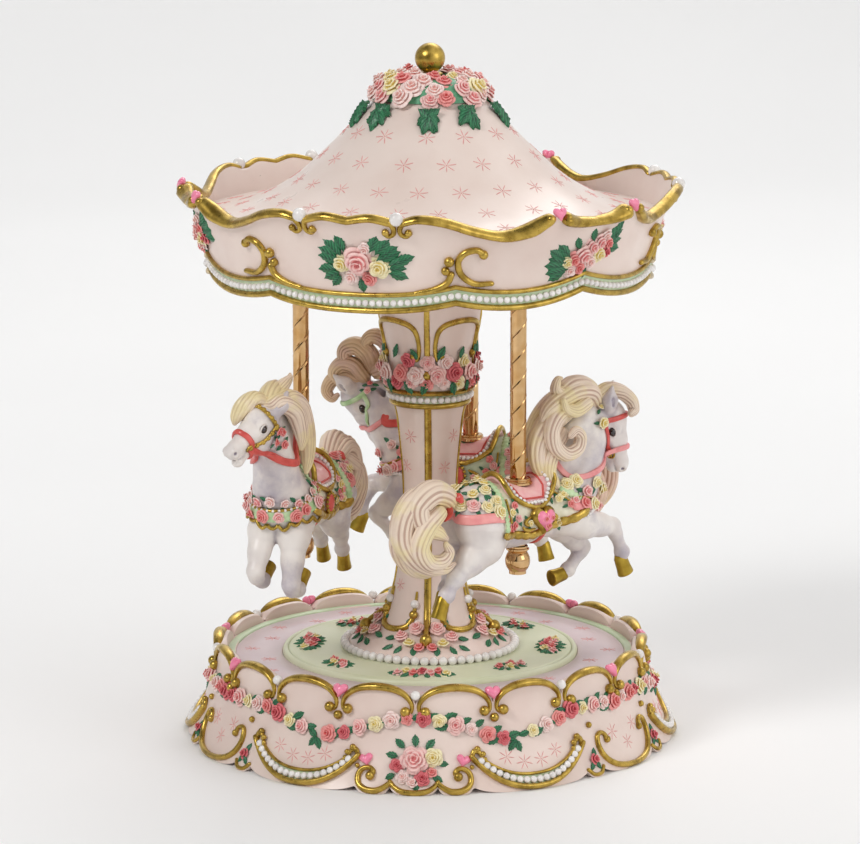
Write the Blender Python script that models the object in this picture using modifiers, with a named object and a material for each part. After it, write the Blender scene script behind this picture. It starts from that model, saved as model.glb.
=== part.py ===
"""Carousel music box: a fixed base and column, and a canopy that turns with three horses on twisted poles.

The origin is on the turning axis at table level, +Z is up, and the bouquet panel of the base faces -Y.
Angles round the axis are in degrees, zero towards -Y and growing towards +X. Lengths are in millimetres
until the helpers turn them into metres.
"""

import math

import bmesh
import bpy
from mathutils import Matrix, Vector

# ---------------------------------------------------------------- driving dimensions
MM = 0.001
GAP = 0.3                  # clearance between pieces that touch
BASE_RADIUS = 100.5        # skirt at the table
DECK_Z = 34.5              # mauve deck ring
LEDGE_Z = 35.0             # ledge between the deck and the arches
ARCH_COUNT = 18            # arches round the top of the skirt
ARCH_RISE = 6.0
SKIRT_WAVE = 0.9           # three broad lobes in the skirt's plan
CANOPY_TURN = 45.0         # a pole sits at this angle when the carousel is at rest
CANOPY_LOW = 192.0         # lowest point of the valance
RIM_RADIUS = 102.4         # valance at its upper edge
POLE_CIRCLE = 54.0         # distance of the poles from the axis
POLE_RADIUS = 3.3
BORE = POLE_RADIUS + GAP   # hole that a pole passes through
SPINDLE_RADIUS = 2.0
DRUM_RADIUS = 42.0         # cam drum on the column's top
CAM_MID_Z = 216.0
CAM_TRAVEL = 4.0           # half of a horse's rise and fall
HORSE_COUNT = 3
SADDLE_Z = 113.2
BALL_Z = 81.6
TOP_Z = 288.5
BALL_FOOT_Z = 276.1        # underside of the finial ball
# each horse's own turn on its pole away from straight ahead, its head's turn to the left, and its neck's lift
HORSE_POSES = ((-3.0, -34.0, 0.0), (4.0, 0.0, -3.0), (-29.0, -26.0, -1.0))

COLUMNS = 54               # sections round the lobed castings, three to an arch
ROUND = 36                 # sections round the large turned pieces
MIDDLE_ROUND = 28
SMALL_ROUND = 14

# ---------------------------------------------------------------- scene, materials
for old in list(bpy.data.objects):
    bpy.data.objects.remove(old, do_unlink=True)

PARTS = bpy.data.collections.new("carousel_music_box")
CUTTERS = bpy.data.collections.new("cutters")
bpy.context.scene.collection.children.link(PARTS)
bpy.context.scene.collection.children.link(CUTTERS)


def material(name, colour, roughness, metallic=0.0):
    made = bpy.data.materials.new(name)
    made.use_nodes = True
    shader = made.node_tree.nodes["Principled BSDF"]
    shader.inputs["Base Color"].default_value = (*colour, 1.0)
    shader.inputs["Roughness"].default_value = roughness
    shader.inputs["Metallic"].default_value = metallic
    return made


RESIN = material("painted_resin", (0.83, 0.66, 0.61), 0.45)
GREEN = material("medallion_resin", (0.64, 0.68, 0.46), 0.5)
GOLD = material("gold_paint", (0.43, 0.26, 0.04), 0.35, 0.8)
IVORY = material("horse_resin", (0.80, 0.74, 0.70), 0.4)
ROSE = material("rose_resin", (0.80, 0.42, 0.40), 0.5)
BRASS = material("polished_brass", (0.60, 0.33, 0.10), 0.12, 1.0)
STEEL = material("steel", (0.55, 0.55, 0.56), 0.3, 1.0)
NYLON = material("nylon", (0.80, 0.80, 0.76), 0.5)
CARD = material("base_board", (0.10, 0.10, 0.11), 0.8)


# ---------------------------------------------------------------- helpers
def add_object(name, mesh, mat, collection=None):
    made = bpy.data.objects.new(name, mesh)
    (collection or PARTS).objects.link(made)
    if mat:
        mesh.materials.append(mat)
    return made


def mesh_from(name, points, edges=(), faces=()):
    mesh = bpy.data.meshes.new(name)
    mesh.from_pydata([Vector(p) * MM for p in points], list(edges), list(faces))
    mesh.update()
    return mesh


def smooth(mesh, angle=40.0):
    mesh.shade_smooth()
    mesh.set_sharp_from_angle(angle=math.radians(angle))


def polar(radius, angle, z=0.0):
    turn = math.radians(angle)
    return Vector((radius * math.sin(turn), -radius * math.cos(turn), z))


def turned(name, profile, mat, steps=ROUND, ring=True, place=(0.0, 0.0, 0.0)):
    """A turned solid. The profile of (radius, z) runs down the outer side first; a ring closes on itself."""
    points = [(r, 0.0, z) for r, z in profile]
    count = len(points)
    edges = [(i, (i + 1) % count) for i in range(count if ring else count - 1)]
    made = add_object(name, mesh_from(name, points, edges), mat)
    made.location = Vector(place) * MM
    screw = made.modifiers.new("turn", "SCREW")
    screw.steps = steps
    screw.render_steps = steps
    screw.use_merge_vertices = True
    screw.merge_threshold = 0.00001
    screw.use_smooth_shade = True
    return made


def lobed(name, section, mat, columns=COLUMNS):
    """A ring lofted through closed sections; section(angle) gives its (radius, z) points, outer side rising."""
    points = []
    for column in range(columns):
        angle = 360.0 * column / columns
        points += [polar(r, angle, z) for r, z in section(angle)]
    size = len(points) // columns
    faces = []
    for column in range(columns):
        here = column * size
        there = (column + 1) % columns * size
        for row in range(size):
            up = (row + 1) % size
            faces.append((here + row, there + row, there + up, here + up))
    mesh = mesh_from(name, points, (), faces)
    smooth(mesh)
    return add_object(name, mesh, mat)


def primitive(name, mat, collection=None):
    """An empty mesh and the function that finishes it as an object."""
    mesh = bpy.data.meshes.new(name)
    shape = bmesh.new()

    def finish(shaded=True):
        shape.to_mesh(mesh)
        shape.free()
        if shaded:
            smooth(mesh)
        return add_object(name, mesh, mat, collection)

    return shape, finish


def add_rod(shape, start, end, radius, radius_end=None, sides=SMALL_ROUND):
    start = Vector(start) * MM
    end = Vector(end) * MM
    turn = (end - start).to_track_quat("Z", "Y").to_matrix().to_4x4()
    bmesh.ops.create_cone(
        shape,
        cap_ends=True,
        segments=sides,
        radius1=radius * MM,
        radius2=(radius if radius_end is None else radius_end) * MM,
        depth=(end - start).length,
        matrix=Matrix.Translation((start + end) / 2) @ turn,
    )


def add_box(shape, low, high):
    low = Vector(low) * MM
    high = Vector(high) * MM
    size = Matrix.Diagonal((*(high - low), 1.0))
    bmesh.ops.create_cube(shape, size=1.0, matrix=Matrix.Translation((low + high) / 2) @ size)


def add_ball(shape, centre, radius, detail=12):
    bmesh.ops.create_uvsphere(
        shape,
        u_segments=detail,
        v_segments=detail // 2 + 2,
        radius=radius * MM,
        matrix=Matrix.Translation(Vector(centre) * MM),
    )


def rod(name, start, end, radius, mat, sides=SMALL_ROUND, collection=None):
    shape, finish = primitive(name, mat, collection)
    add_rod(shape, start, end, radius, sides=sides)
    return finish()


def box(name, low, high, mat, collection=None):
    shape, finish = primitive(name, mat, collection)
    add_box(shape, low, high)
    return finish(shaded=False)


def cut(target, cutter, operation="DIFFERENCE"):
    cutter.hide_render = True
    cutter.display_type = "WIRE"
    boolean = target.modifiers.new(cutter.name, "BOOLEAN")
    boolean.operation = operation
    boolean.object = cutter
    boolean.solver = "EXACT"


def drill(target, name, start, end, radius, sides=16):
    cut(target, rod(name, start, end, radius, None, sides, CUTTERS))


# ---------------------------------------------------------------- base
BOARD_Z = 6.6              # underside of the bottom plate
BOARD_TOP = 8.5
SEAT_Z = 8.8               # ledge that the plate is screwed to
DECK_UNDER = 27.5
MEDALLION_RADIUS = 60.9
MOVEMENT_TOP = DECK_UNDER - GAP
BOARD_SCREWS = (30.0, 150.0, 270.0)
BOARD_SCREW_CIRCLE = 84.0
MOVEMENT_SCREWS = ((-22.0, -14.0), (22.0, -14.0))


def skirt_section(angle):
    wave = SKIRT_WAVE * math.cos(math.radians(3.0 * angle))
    arch = abs(math.sin(math.radians(angle * ARCH_COUNT / 2.0)))
    top = LEDGE_Z + ARCH_RISE * arch
    outer = [(BASE_RADIUS, 0.0), (99.2, 5.0), (96.0, 12.0), (92.8, 22.0), (90.4, 31.0), (89.0, top)]
    rim = [(85.8, top), (85.2, LEDGE_Z), (81.2, DECK_Z), (MEDALLION_RADIUS + GAP, DECK_Z)]
    seat = [(MEDALLION_RADIUS + GAP, 31.5), (22.0, 31.5), (22.0, DECK_UNDER), (78.0, DECK_UNDER)]
    inside = [(84.0, 21.0), (80.0, 14.0), (80.0, SEAT_Z), (88.5, SEAT_Z), (94.3, 0.0)]
    flare = [(r + wave * (1.0 - z / 60.0), z) for r, z in outer]
    foot = [(r + (wave if z == 0.0 else 0.0), z) for r, z in inside]
    return flare + rim + seat + foot


def make_base():
    casting = lobed("base_casting", skirt_section, RESIN)
    for number, angle in enumerate(BOARD_SCREWS, 1):
        place = polar(BOARD_SCREW_CIRCLE, angle)
        lift = Vector((0.0, 0.0, 1.0))
        drill(casting, f"board_hole_{number}", place + lift * 7.0, place + lift * 13.4, 1.8)
        shape, finish = primitive(f"bottom_plate_screw_{number}", STEEL)
        add_rod(shape, place + lift * 4.7, place + lift * 6.3, 2.8, sides=16)
        head = finish()
        shank = rod(f"screw_shank_{number}", place + lift * 5.5, place + lift * 13.0, 1.4, None, 12, CUTTERS)
        cut(head, shank, "UNION")
    for number, (x, y) in enumerate(MOVEMENT_SCREWS, 1):
        drill(casting, f"movement_hole_{number}", (x, y, 26.0), (x, y, 30.6), 1.6)
        shape, finish = primitive(f"movement_screw_{number}", STEEL)
        add_rod(shape, (x, y, 23.2), (x, y, MOVEMENT_TOP - 2.0 - GAP), 2.6, sides=16)
        shank = rod(f"movement_shank_{number}", (x, y, 24.0), (x, y, 30.2), 1.2, None, 12, CUTTERS)
        cut(finish(), shank, "UNION")

    top = 36.5
    turned(
        "deck_medallion",
        [(22.6, top), (58.2, top), (58.8, top - 0.5), (59.6, top), (60.6, top - 0.5),
         (MEDALLION_RADIUS, 34.6), (MEDALLION_RADIUS, 31.8), (22.6, 31.8)],
        GREEN,
    )
    plate = turned(
        "bottom_plate",
        [(87.6, BOARD_TOP), (87.6, BOARD_Z), (8.0, BOARD_Z), (8.0, BOARD_TOP)],
        CARD,
    )
    for number, angle in enumerate(BOARD_SCREWS, 1):
        place = polar(BOARD_SCREW_CIRCLE, angle)
        drill(plate, f"plate_hole_{number}", place + Vector((0, 0, 5)), place + Vector((0, 0, 10)), 1.8)


# ---------------------------------------------------------------- column and cam
COLUMN_BORE = 6.3
FOOT_Z = 36.8


def make_column():
    shaft = [
        (13.8, 139.0), (13.6, 136.0), (12.2, 125.0), (11.0, 112.0), (10.5, 101.0), (11.0, 90.0), (12.5, 77.0),
        (14.3, 65.0), (16.5, 55.5), (18.8, 49.5), (21.5, 46.8), (26.0, 43.5), (30.5, 40.6), (34.0, 38.6),
        (34.6, FOOT_Z), (COLUMN_BORE, FOOT_Z), (COLUMN_BORE, 139.0),
    ]
    turned("column_shaft", shaft, RESIN, steps=MIDDLE_ROUND)
    collar = [
        (17.2, 147.0), (18.4, 146.2), (18.4, 145.2), (17.2, 144.6), (15.8, 144.2), (15.4, 142.0), (15.6, 141.2),
        (16.6, 140.8), (16.6, 139.9), (15.8, 139.3), (COLUMN_BORE, 139.3), (COLUMN_BORE, 147.0),
    ]
    turned("column_collar", collar, GOLD, steps=MIDDLE_ROUND)
    capital = [
        (20.0, 203.7), (21.2, 188.0), (20.8, 176.0), (19.0, 168.0), (17.6, 160.0), (17.2, 152.0), (17.4, 147.3),
        (COLUMN_BORE, 147.3), (COLUMN_BORE, 203.7),
    ]
    turned("column_capital", capital, RESIN, steps=MIDDLE_ROUND)

    def drum_section(angle):
        """The groove's centre rises and falls three times a turn, and every horse is at the same phase."""
        middle = CAM_MID_Z + CAM_TRAVEL * math.sin(math.radians(3.0 * (angle - CANOPY_TURN)))
        half = 2.6
        return [
            (38.0, 204.0), (DRUM_RADIUS, 205.5), (DRUM_RADIUS, middle - half), (DRUM_RADIUS - 3.0, middle - half),
            (DRUM_RADIUS - 3.0, middle + half), (DRUM_RADIUS, middle + half), (DRUM_RADIUS, 227.0),
            (38.0, 228.0), (6.0, 228.0), (6.0, 204.0),
        ]

    lobed("cam_drum", drum_section, NYLON, columns=36)
    bush = SPINDLE_RADIUS + GAP
    for name, low, high, outer in (("spindle_bush_lower", 38.0, 46.0, 6.0), ("spindle_bush_upper", 220.0, 227.6, 5.7)):
        turned(name, [(outer, high), (outer, low), (bush, low), (bush, high)], BRASS, steps=SMALL_ROUND)


# ---------------------------------------------------------------- canopy
CROSSING = 25.0            # angle from a panel's middle to the scroll that ends it


def panel_angle(angle):
    """Angle from the middle of the nearest big-bouquet panel, 0 to 60."""
    away = (angle - CANOPY_TURN - 60.0) % 120.0
    return min(away, 120.0 - away)


def ease(start, end, share):
    return start + (end - start) * (0.5 - 0.5 * math.cos(math.pi * share))


def lower_edge(away):
    if away < CROSSING:
        return CANOPY_LOW + 3.6 * (away / CROSSING) ** 2
    share = (away - CROSSING) / (60.0 - CROSSING)
    return CANOPY_LOW + 3.6 + 2.4 * share - 15.2 * share * (1.0 - share)


def upper_edge(away):
    pearl, dip, heart = 11.3, 36.0, 48.0
    if away < pearl:
        return 230.5
    if away < dip:
        return ease(230.5, 223.5, (away - pearl) / (dip - pearl))
    if away < heart:
        return ease(223.5, 230.5, (away - dip) / (heart - dip))
    return 230.0


def valance_section(angle):
    away = panel_angle(angle)
    low = lower_edge(away)
    high = upper_edge(away)
    flare = RIM_RADIUS - 1.4 * math.exp(-(((away - 36.0) / 8.0) ** 2))
    outer = [(90.2, low), (91.0, low + 6.0), (93.2, 209.0), (97.0, 218.0), (flare, high)]
    inner = [(flare - 3.6, high - 0.4), (94.6, 219.5), (90.0, 209.0), (86.8, 203.0), (86.0, low)]
    return outer + inner


def make_canopy():
    lobed("valance_ring", valance_section, RESIN)
    outer = [
        (5.0, 272.2), (12.0, 271.2), (19.0, 268.0), (26.7, 261.4), (37.0, 250.7), (46.0, 242.0), (56.0, 233.2),
        (68.0, 226.4), (80.0, 222.0), (93.2, 219.4),
    ]
    inner = [
        (92.0, 216.2), (80.0, 218.8), (66.0, 223.4), (53.5, 230.4), (44.0, 238.8), (35.0, 247.5), (22.0, 260.4),
        (13.0, 267.0), (5.0, 268.8),
    ]
    turned("roof_shell", outer + inner, RESIN)
    plate = turned(
        "soffit_plate",
        [(84.6, 202.0), (84.6, 199.0), (25.0, 199.0), (25.0, 202.0)],
        RESIN,
    )
    for number in range(HORSE_COUNT):
        place = polar(POLE_CIRCLE, CANOPY_TURN + 120.0 * number)
        drill(plate, f"bush_hole_{number + 1}", place + Vector((0, 0, 197)), place + Vector((0, 0, 204)), 6.0)
        bush = [(5.7, 206.0), (5.7, 202.3), (5.7, 198.7), (7.0, 198.7), (7.0, 197.2), (BORE, 197.2), (BORE, 206.0)]
        turned(f"pole_bush_{number + 1}", bush, BRASS, steps=SMALL_ROUND, place=place)

    turned(
        "flower_crown",
        [(8.2, 276.4), (11.0, 276.8), (16.0, 275.6), (20.5, 272.2), (23.6, 267.4), (23.4, 265.2),
         (19.4, 268.3), (12.2, 271.6), (8.2, 272.4)],
        ROSE,
        steps=MIDDLE_ROUND,
    )
    hub_bore = SPINDLE_RADIUS + GAP
    turned(
        "canopy_hub",
        [(7.0, 262.0), (7.0, 247.0), (31.0, 246.5), (31.0, 243.5), (7.0, 243.0), (7.0, 238.0),
         (hub_bore, 238.0), (hub_bore, 262.0)],
        NYLON,
        steps=MIDDLE_ROUND,
    )
    turned("hub_nut", [(4.2, 266.0), (4.2, 262.3), (hub_bore, 262.3), (hub_bore, 266.0)], STEEL, steps=6)
    turned(
        "finial_collar",
        [(4.4, 276.4), (5.2, 276.0), (4.8, 275.3), (6.1, 274.8), (5.7, 274.1), (7.0, 273.5), (6.8, 272.7),
         (hub_bore, 272.7), (hub_bore, 276.2)],
        GOLD,
        steps=SMALL_ROUND,
    )
    shape, finish = primitive("finial_ball", GOLD)
    ball = (TOP_Z - BALL_FOOT_Z) / 2.0
    add_ball(shape, (0.0, 0.0, TOP_Z - ball), ball, detail=16)
    finish()
    rod("drive_spindle", (0, 0, 25.2), (0, 0, 275.6), SPINDLE_RADIUS, STEEL, sides=12)


# ---------------------------------------------------------------- movement in the base
BARREL_RIM = 16.0
CYLINDER_Z = 18.4
CYLINDER_LOW, CYLINDER_HIGH = 18.6, 37.6
COMB_TEETH = 18
WORM_X = 8.6
WORM_Y = 42.4


def toothed_wheel(name, teeth, root, tip, low, high, mat):
    """A wheel standing on the XY plane whose rim steps between its root and tip radius."""
    corners = []
    for tooth in range(teeth):
        for share, radius in ((0.0, root), (0.25, tip), (0.5, tip), (0.75, root)):
            corners.append(polar(radius, 360.0 * (tooth + share) / teeth, low))
    shape, finish = primitive(name, mat)
    rim = [shape.verts.new(corner * MM) for corner in corners]
    face = shape.faces.new(rim)
    lifted = bmesh.ops.extrude_face_region(shape, geom=[face])
    moved = [item for item in lifted["geom"] if isinstance(item, bmesh.types.BMVert)]
    bmesh.ops.translate(shape, verts=moved, vec=(0.0, 0.0, (high - low) * MM))
    bmesh.ops.recalc_face_normals(shape, faces=shape.faces)
    return finish(shaded=False)


def lay_along_y(piece, y):
    """Turns a piece that was made upright onto the cylinder's axis, its foot at y."""
    piece.rotation_euler = (math.radians(-90.0), 0.0, 0.0)
    piece.location = Vector((0.0, y, CYLINDER_Z)) * MM


def make_movement():
    plate_low = MOVEMENT_TOP - 2.0
    plate = box("movement_bedplate", (-28, -20, plate_low), (28, 48, MOVEMENT_TOP), STEEL)
    drill(plate, "bedplate_spindle_hole", (0, 0, 24), (0, 0, 29), 3.5)
    for number, (x, y) in enumerate(MOVEMENT_SCREWS, 1):
        drill(plate, f"bedplate_hole_{number}", (x, y, 24), (x, y, 29), 1.6)

    barrel = toothed_wheel("spring_barrel", 30, 15.0, BARREL_RIM, 22.2, 24.9, BRASS)
    drum = rod("barrel_drum", (0, 0, 14.0), (0, 0, 23.0), 11.4, None, 30, CUTTERS)
    cut(barrel, drum, "UNION")

    profile = [(0.0, CYLINDER_HIGH + 3.2), (1.0, CYLINDER_HIGH + 3.2), (1.0, CYLINDER_HIGH), (6.0, CYLINDER_HIGH),
               (6.0, CYLINDER_LOW), (1.0, CYLINDER_LOW), (1.0, CYLINDER_LOW - 2.4), (0.0, CYLINDER_LOW - 2.4)]
    cylinder = turned("pinned_cylinder", profile, BRASS, steps=24, ring=False)
    lay_along_y(cylinder, 0.0)
    pinion = toothed_wheel("cylinder_pinion", 10, 2.2, 3.3, 0.0, 3.4, BRASS)
    lay_along_y(pinion, 12.5)
    wheel = toothed_wheel("cylinder_wheel", 40, 5.6, 6.4, 0.0, 2.4, BRASS)
    lay_along_y(wheel, 41.2)
    for name, low, high in (("cylinder_bracket_inner", 16.7, 18.0), ("cylinder_bracket_outer", 38.2, 39.5)):
        bracket = box(name, (-7.0, low, 15.0), (5.0, high, plate_low - GAP), STEEL)
        drill(bracket, name + "_hole", (0, low - 1, CYLINDER_Z), (0, high + 1, CYLINDER_Z), 1.0 + GAP)

    comb = []
    pitch = (CYLINDER_HIGH - CYLINDER_LOW - 1.0) / COMB_TEETH
    for tooth in range(COMB_TEETH):
        foot = CYLINDER_LOW + 0.5 + tooth * pitch
        comb += [(13.0, foot), (6.4, foot), (6.4, foot + 0.6), (13.0, foot + 0.6)]
    outline = comb + [(21.0, comb[-1][1]), (21.0, comb[0][1])]
    shape, finish = primitive("comb", STEEL)
    face = shape.faces.new([shape.verts.new(Vector((x, y, 17.6)) * MM) for x, y in outline])
    lifted = bmesh.ops.extrude_face_region(shape, geom=[face])
    moved = [item for item in lifted["geom"] if isinstance(item, bmesh.types.BMVert)]
    bmesh.ops.translate(shape, verts=moved, vec=(0.0, 0.0, 0.8 * MM))
    bmesh.ops.recalc_face_normals(shape, faces=shape.faces)
    finish(shaded=False)
    box("comb_block", (14.0, CYLINDER_LOW, 18.4 + GAP), (21.0, CYLINDER_HIGH, plate_low - GAP), BRASS)

    profile = [(0.0, 24.6), (0.8, 24.6), (0.8, 22.6), (1.6, 22.6), (1.6, 14.4), (0.8, 14.4), (0.8, 11.9), (0.0, 11.9)]
    turned("governor_worm", profile, STEEL, steps=12, ring=False, place=(WORM_X, WORM_Y, 0.0))
    shape, finish = primitive("governor_fly", BRASS)
    add_box(shape, (WORM_X - 5.0, WORM_Y - 0.6, 9.2), (WORM_X + 5.0, WORM_Y + 0.6, 11.6))
    finish(shaded=False)
    web = 15.0
    shape, finish = primitive("governor_bracket", STEEL)
    outline = [(web, 12.2), (web, plate_low - GAP), (web - 1.4, plate_low - GAP), (web - 1.4, 24.0),
               (WORM_X - 1.6, 24.0), (WORM_X - 1.6, 23.0), (web - 1.4, 23.0), (web - 1.4, 13.2),
               (WORM_X - 1.6, 13.2), (WORM_X - 1.6, 12.2)]
    face = shape.faces.new([shape.verts.new(Vector((x, WORM_Y - 3.0, z)) * MM) for x, z in outline])
    lifted = bmesh.ops.extrude_face_region(shape, geom=[face])
    moved = [item for item in lifted["geom"] if isinstance(item, bmesh.types.BMVert)]
    bmesh.ops.translate(shape, verts=moved, vec=(0.0, 6.0 * MM, 0.0))
    bmesh.ops.recalc_face_normals(shape, faces=shape.faces)
    drill(finish(shaded=False), "worm_hole", (WORM_X, WORM_Y, 10.0), (WORM_X, WORM_Y, 24.4), 1.1)

    rod("winding_arbor", (0, 0, 7.5), (0, 0, 13.7), 2.0, STEEL, sides=16)
    grip = box("winding_key", (-11.0, -1.2, 1.2), (11.0, 1.2, 5.6), BRASS)
    boss = rod("key_boss", (0, 0, 1.2), (0, 0, 7.2), 3.2, None, 16, CUTTERS)
    cut(grip, boss, "UNION")


# ---------------------------------------------------------------- horses
HORSE_VOXEL = 1.7
HORSE_KEEP = 0.08          # share of the remeshed triangles that is kept


def turn_about(point, pivot, angle):
    """A point turned to the left about a vertical line through pivot."""
    turn = Matrix.Rotation(math.radians(angle), 3, "Z")
    return turn @ (Vector(point) - Vector(pivot)) + Vector(pivot)


def horse_limbs(head_turn, lift):
    """The horse's masses as chains of (x, y, z, radius): x ahead, y to its left, z up at rest."""
    body = [(-25, 0, 103, 12.2), (-12, 0, 101, 11.6), (2, 0, 100.4, 12.4), (14, 0, 100.6, 11.8), (23, 0, 102, 11.6)]
    neck = [(26, 0, 107, 9.8), (31, 0, 117, 8.0), (35, 0, 128 + lift, 7.2), (37, 0, 136 + lift, 6.2)]
    poll = (38.0, 0.0, 139.0 + lift)
    head = [(39, 0, 138 + lift, 6.0), (45, 0, 129 + lift, 4.9), (51, 0, 120 + lift, 3.4), (53.5, 0, 116 + lift, 3.2)]
    head = [(*turn_about(p[:3], poll, head_turn), p[3]) for p in head]
    mane = [(38, 0, 144 + lift, 5.4), (31, 0, 141 + lift, 6.6), (25, 0, 132 + lift, 6.2), (22, 0, 121 + lift, 5.0)]
    hind_near = [(-27, -5.5, 98, 9.0), (-31, -6.5, 88, 6.2), (-38, -6.5, 79, 3.5), (-43, -6.5, 70, 2.6),
                 (-45.5, -6.5, 65.8, 3.2)]
    hind_far = [(-27, 5.5, 98, 9.0), (-27, 6.5, 88, 6.0), (-36, 6.5, 80, 3.4), (-32, 6.5, 71, 2.6),
                (-29, 6.5, 67.2, 3.2)]
    fore_near = [(23, -6, 98, 7.0), (33, -6.5, 93, 5.2), (48, -6.5, 91, 3.4), (52, -6.5, 78, 2.5), (54, -6.5, 71, 3.2)]
    fore_far = [(23, 6, 98, 7.0), (31, 6.5, 89, 5.0), (38, 6.5, 80, 3.4), (29, 6.5, 73, 2.5), (23, 6.5, 70.5, 3.1)]
    tail = [(-34, 0, 108, 4.0), (-45, 0, 114, 5.6), (-54, 0, 108, 6.6), (-57, 0, 96, 6.6), (-52, 0, 87, 4.6)]
    return [body, neck, head, mane, hind_near, hind_far, fore_near, fore_far, tail]


def make_horse(number):
    """A horse with its pole, cam follower, saddle collar and ball, whose origin is on the pole's axis."""
    angle = CANOPY_TURN + 120.0 * number
    place = polar(POLE_CIRCLE, angle)
    own_turn, head_turn, lift = HORSE_POSES[number]
    label = number + 1
    shape, finish = primitive(f"horse_{label}", IVORY)
    for chain in horse_limbs(head_turn, lift):
        for x, y, z, radius in chain:
            add_ball(shape, (x, y, z), radius)
        for first, second in zip(chain, chain[1:]):
            add_rod(shape, first[:3], second[:3], first[3], second[3], sides=12)
    casting = finish()
    casting.location = place * MM
    casting.rotation_euler = (0.0, 0.0, math.radians(angle + own_turn))
    remesh = casting.modifiers.new("join", "REMESH")
    remesh.mode = "VOXEL"
    remesh.voxel_size = HORSE_VOXEL * MM
    remesh.use_smooth_shade = True
    thin = casting.modifiers.new("thin", "DECIMATE")
    thin.ratio = HORSE_KEEP
    drill(casting, f"horse_bore_{label}", place + Vector((0, 0, 60)), place + Vector((0, 0, 160)), BORE, 20)
    flats = place + Vector((0, 0, SADDLE_Z))
    drill(casting, f"saddle_flat_{label}", flats, flats + Vector((0, 0, 20)), 6.6, 20)
    under = place + Vector((0, 0, 88.3))
    drill(casting, f"belly_flat_{label}", under, under - Vector((0, 0, 9)), 6.6, 20)

    rod(f"pole_{label}", place + Vector((0, 0, 88.3)), place + Vector((0, 0, 221)), POLE_RADIUS, BRASS, 16)
    collar = [(4.6, SADDLE_Z + 3.0), (6.0, SADDLE_Z + 1.6), (6.0, SADDLE_Z + GAP), (BORE, SADDLE_Z + GAP),
              (BORE, SADDLE_Z + 3.0)]
    turned(f"saddle_collar_{label}", collar, BRASS, steps=SMALL_ROUND, place=place)
    ball = [(0.0, 88.0), (4.6, 88.0), (4.6, 86.8), (3.4, 86.3)]
    radius = 5.2
    for step in range(1, 9):
        turn = math.radians(20.0 * step + 20.0)
        ball.append((radius * math.sin(turn), BALL_Z + radius * math.cos(turn)))
    ball[-1] = (0.0, BALL_Z - radius)
    turned(f"pole_ball_{label}", ball, BRASS, steps=SMALL_ROUND, ring=False, place=place)

    inward = -place.normalized()
    middle = place + Vector((0, 0, CAM_MID_Z))
    shape, finish = primitive(f"cam_follower_{label}", NYLON)
    add_rod(shape, middle - Vector((0, 0, 4)), middle + Vector((0, 0, 4)), 6.4)
    follower = finish()
    reach = POLE_CIRCLE - DRUM_RADIUS - 0.5
    pin = rod(f"follower_pin_{label}", middle + inward * 4.5, middle + inward * reach, 1.9, None, 12, CUTTERS)
    cut(follower, pin, "UNION")
    drill(follower, f"follower_bore_{label}", middle - Vector((0, 0, 8)), middle + Vector((0, 0, 8)), BORE, 20)


make_base()
make_column()
make_canopy()
make_movement()
for horse in range(HORSE_COUNT):
    make_horse(horse)
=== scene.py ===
"""The looks of the carousel music box: painted resin, antique gold, pearls, roses and sculpted horses."""

import math

import bpy
import numpy as np
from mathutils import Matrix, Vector
from mathutils.bvhtree import BVHTree


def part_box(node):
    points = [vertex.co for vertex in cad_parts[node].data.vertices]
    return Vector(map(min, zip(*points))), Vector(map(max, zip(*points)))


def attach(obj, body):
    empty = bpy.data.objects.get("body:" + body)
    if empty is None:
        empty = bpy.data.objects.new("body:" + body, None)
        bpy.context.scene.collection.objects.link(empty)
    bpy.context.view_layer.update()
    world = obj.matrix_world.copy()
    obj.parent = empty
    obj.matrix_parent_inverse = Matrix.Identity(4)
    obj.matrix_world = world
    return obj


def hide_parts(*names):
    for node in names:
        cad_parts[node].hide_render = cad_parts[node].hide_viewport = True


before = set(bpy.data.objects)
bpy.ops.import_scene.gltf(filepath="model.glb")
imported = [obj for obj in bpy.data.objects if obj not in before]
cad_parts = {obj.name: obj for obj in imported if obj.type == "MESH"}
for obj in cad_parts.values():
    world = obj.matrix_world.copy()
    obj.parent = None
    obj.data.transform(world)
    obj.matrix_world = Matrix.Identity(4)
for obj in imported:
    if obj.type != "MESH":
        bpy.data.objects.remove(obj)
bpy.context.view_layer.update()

# Lengths here are millimetres until Shape.finish turns them into metres. Angles are degrees round the
# turning axis, zero towards -Y and growing towards +X; the canopy's own angles start at a pole.
MM = 0.001
RNG = np.random.default_rng(7)


def box_mm(node):
    low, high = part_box(node)
    return np.array(low) / MM, np.array(high) / MM


DECK_Z = 34.5
LEDGE_Z = 35.0
ARCHES = 18
ARCH = 360.0 / ARCHES
PANEL = 120.0  # the base and the canopy repeat themselves at this angle
MEDALLION_TOP = box_mm("deck_medallion")[1][2]
POLES = [(box_mm(f"pole_{n}")[0] + box_mm(f"pole_{n}")[1]) / 2 for n in (1, 2, 3)]
CANOPY_TURN = math.degrees(math.atan2(POLES[0][0], -POLES[0][1]))


# ---------------------------------------------------------------- materials
def srgb(code):
    """Linear colour of a six-digit code."""
    values = [int(code[i:i + 2], 16) / 255.0 for i in (0, 2, 4)]
    return tuple(v / 12.92 if v <= 0.04045 else ((v + 0.055) / 1.055) ** 2.4 for v in values)


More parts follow.
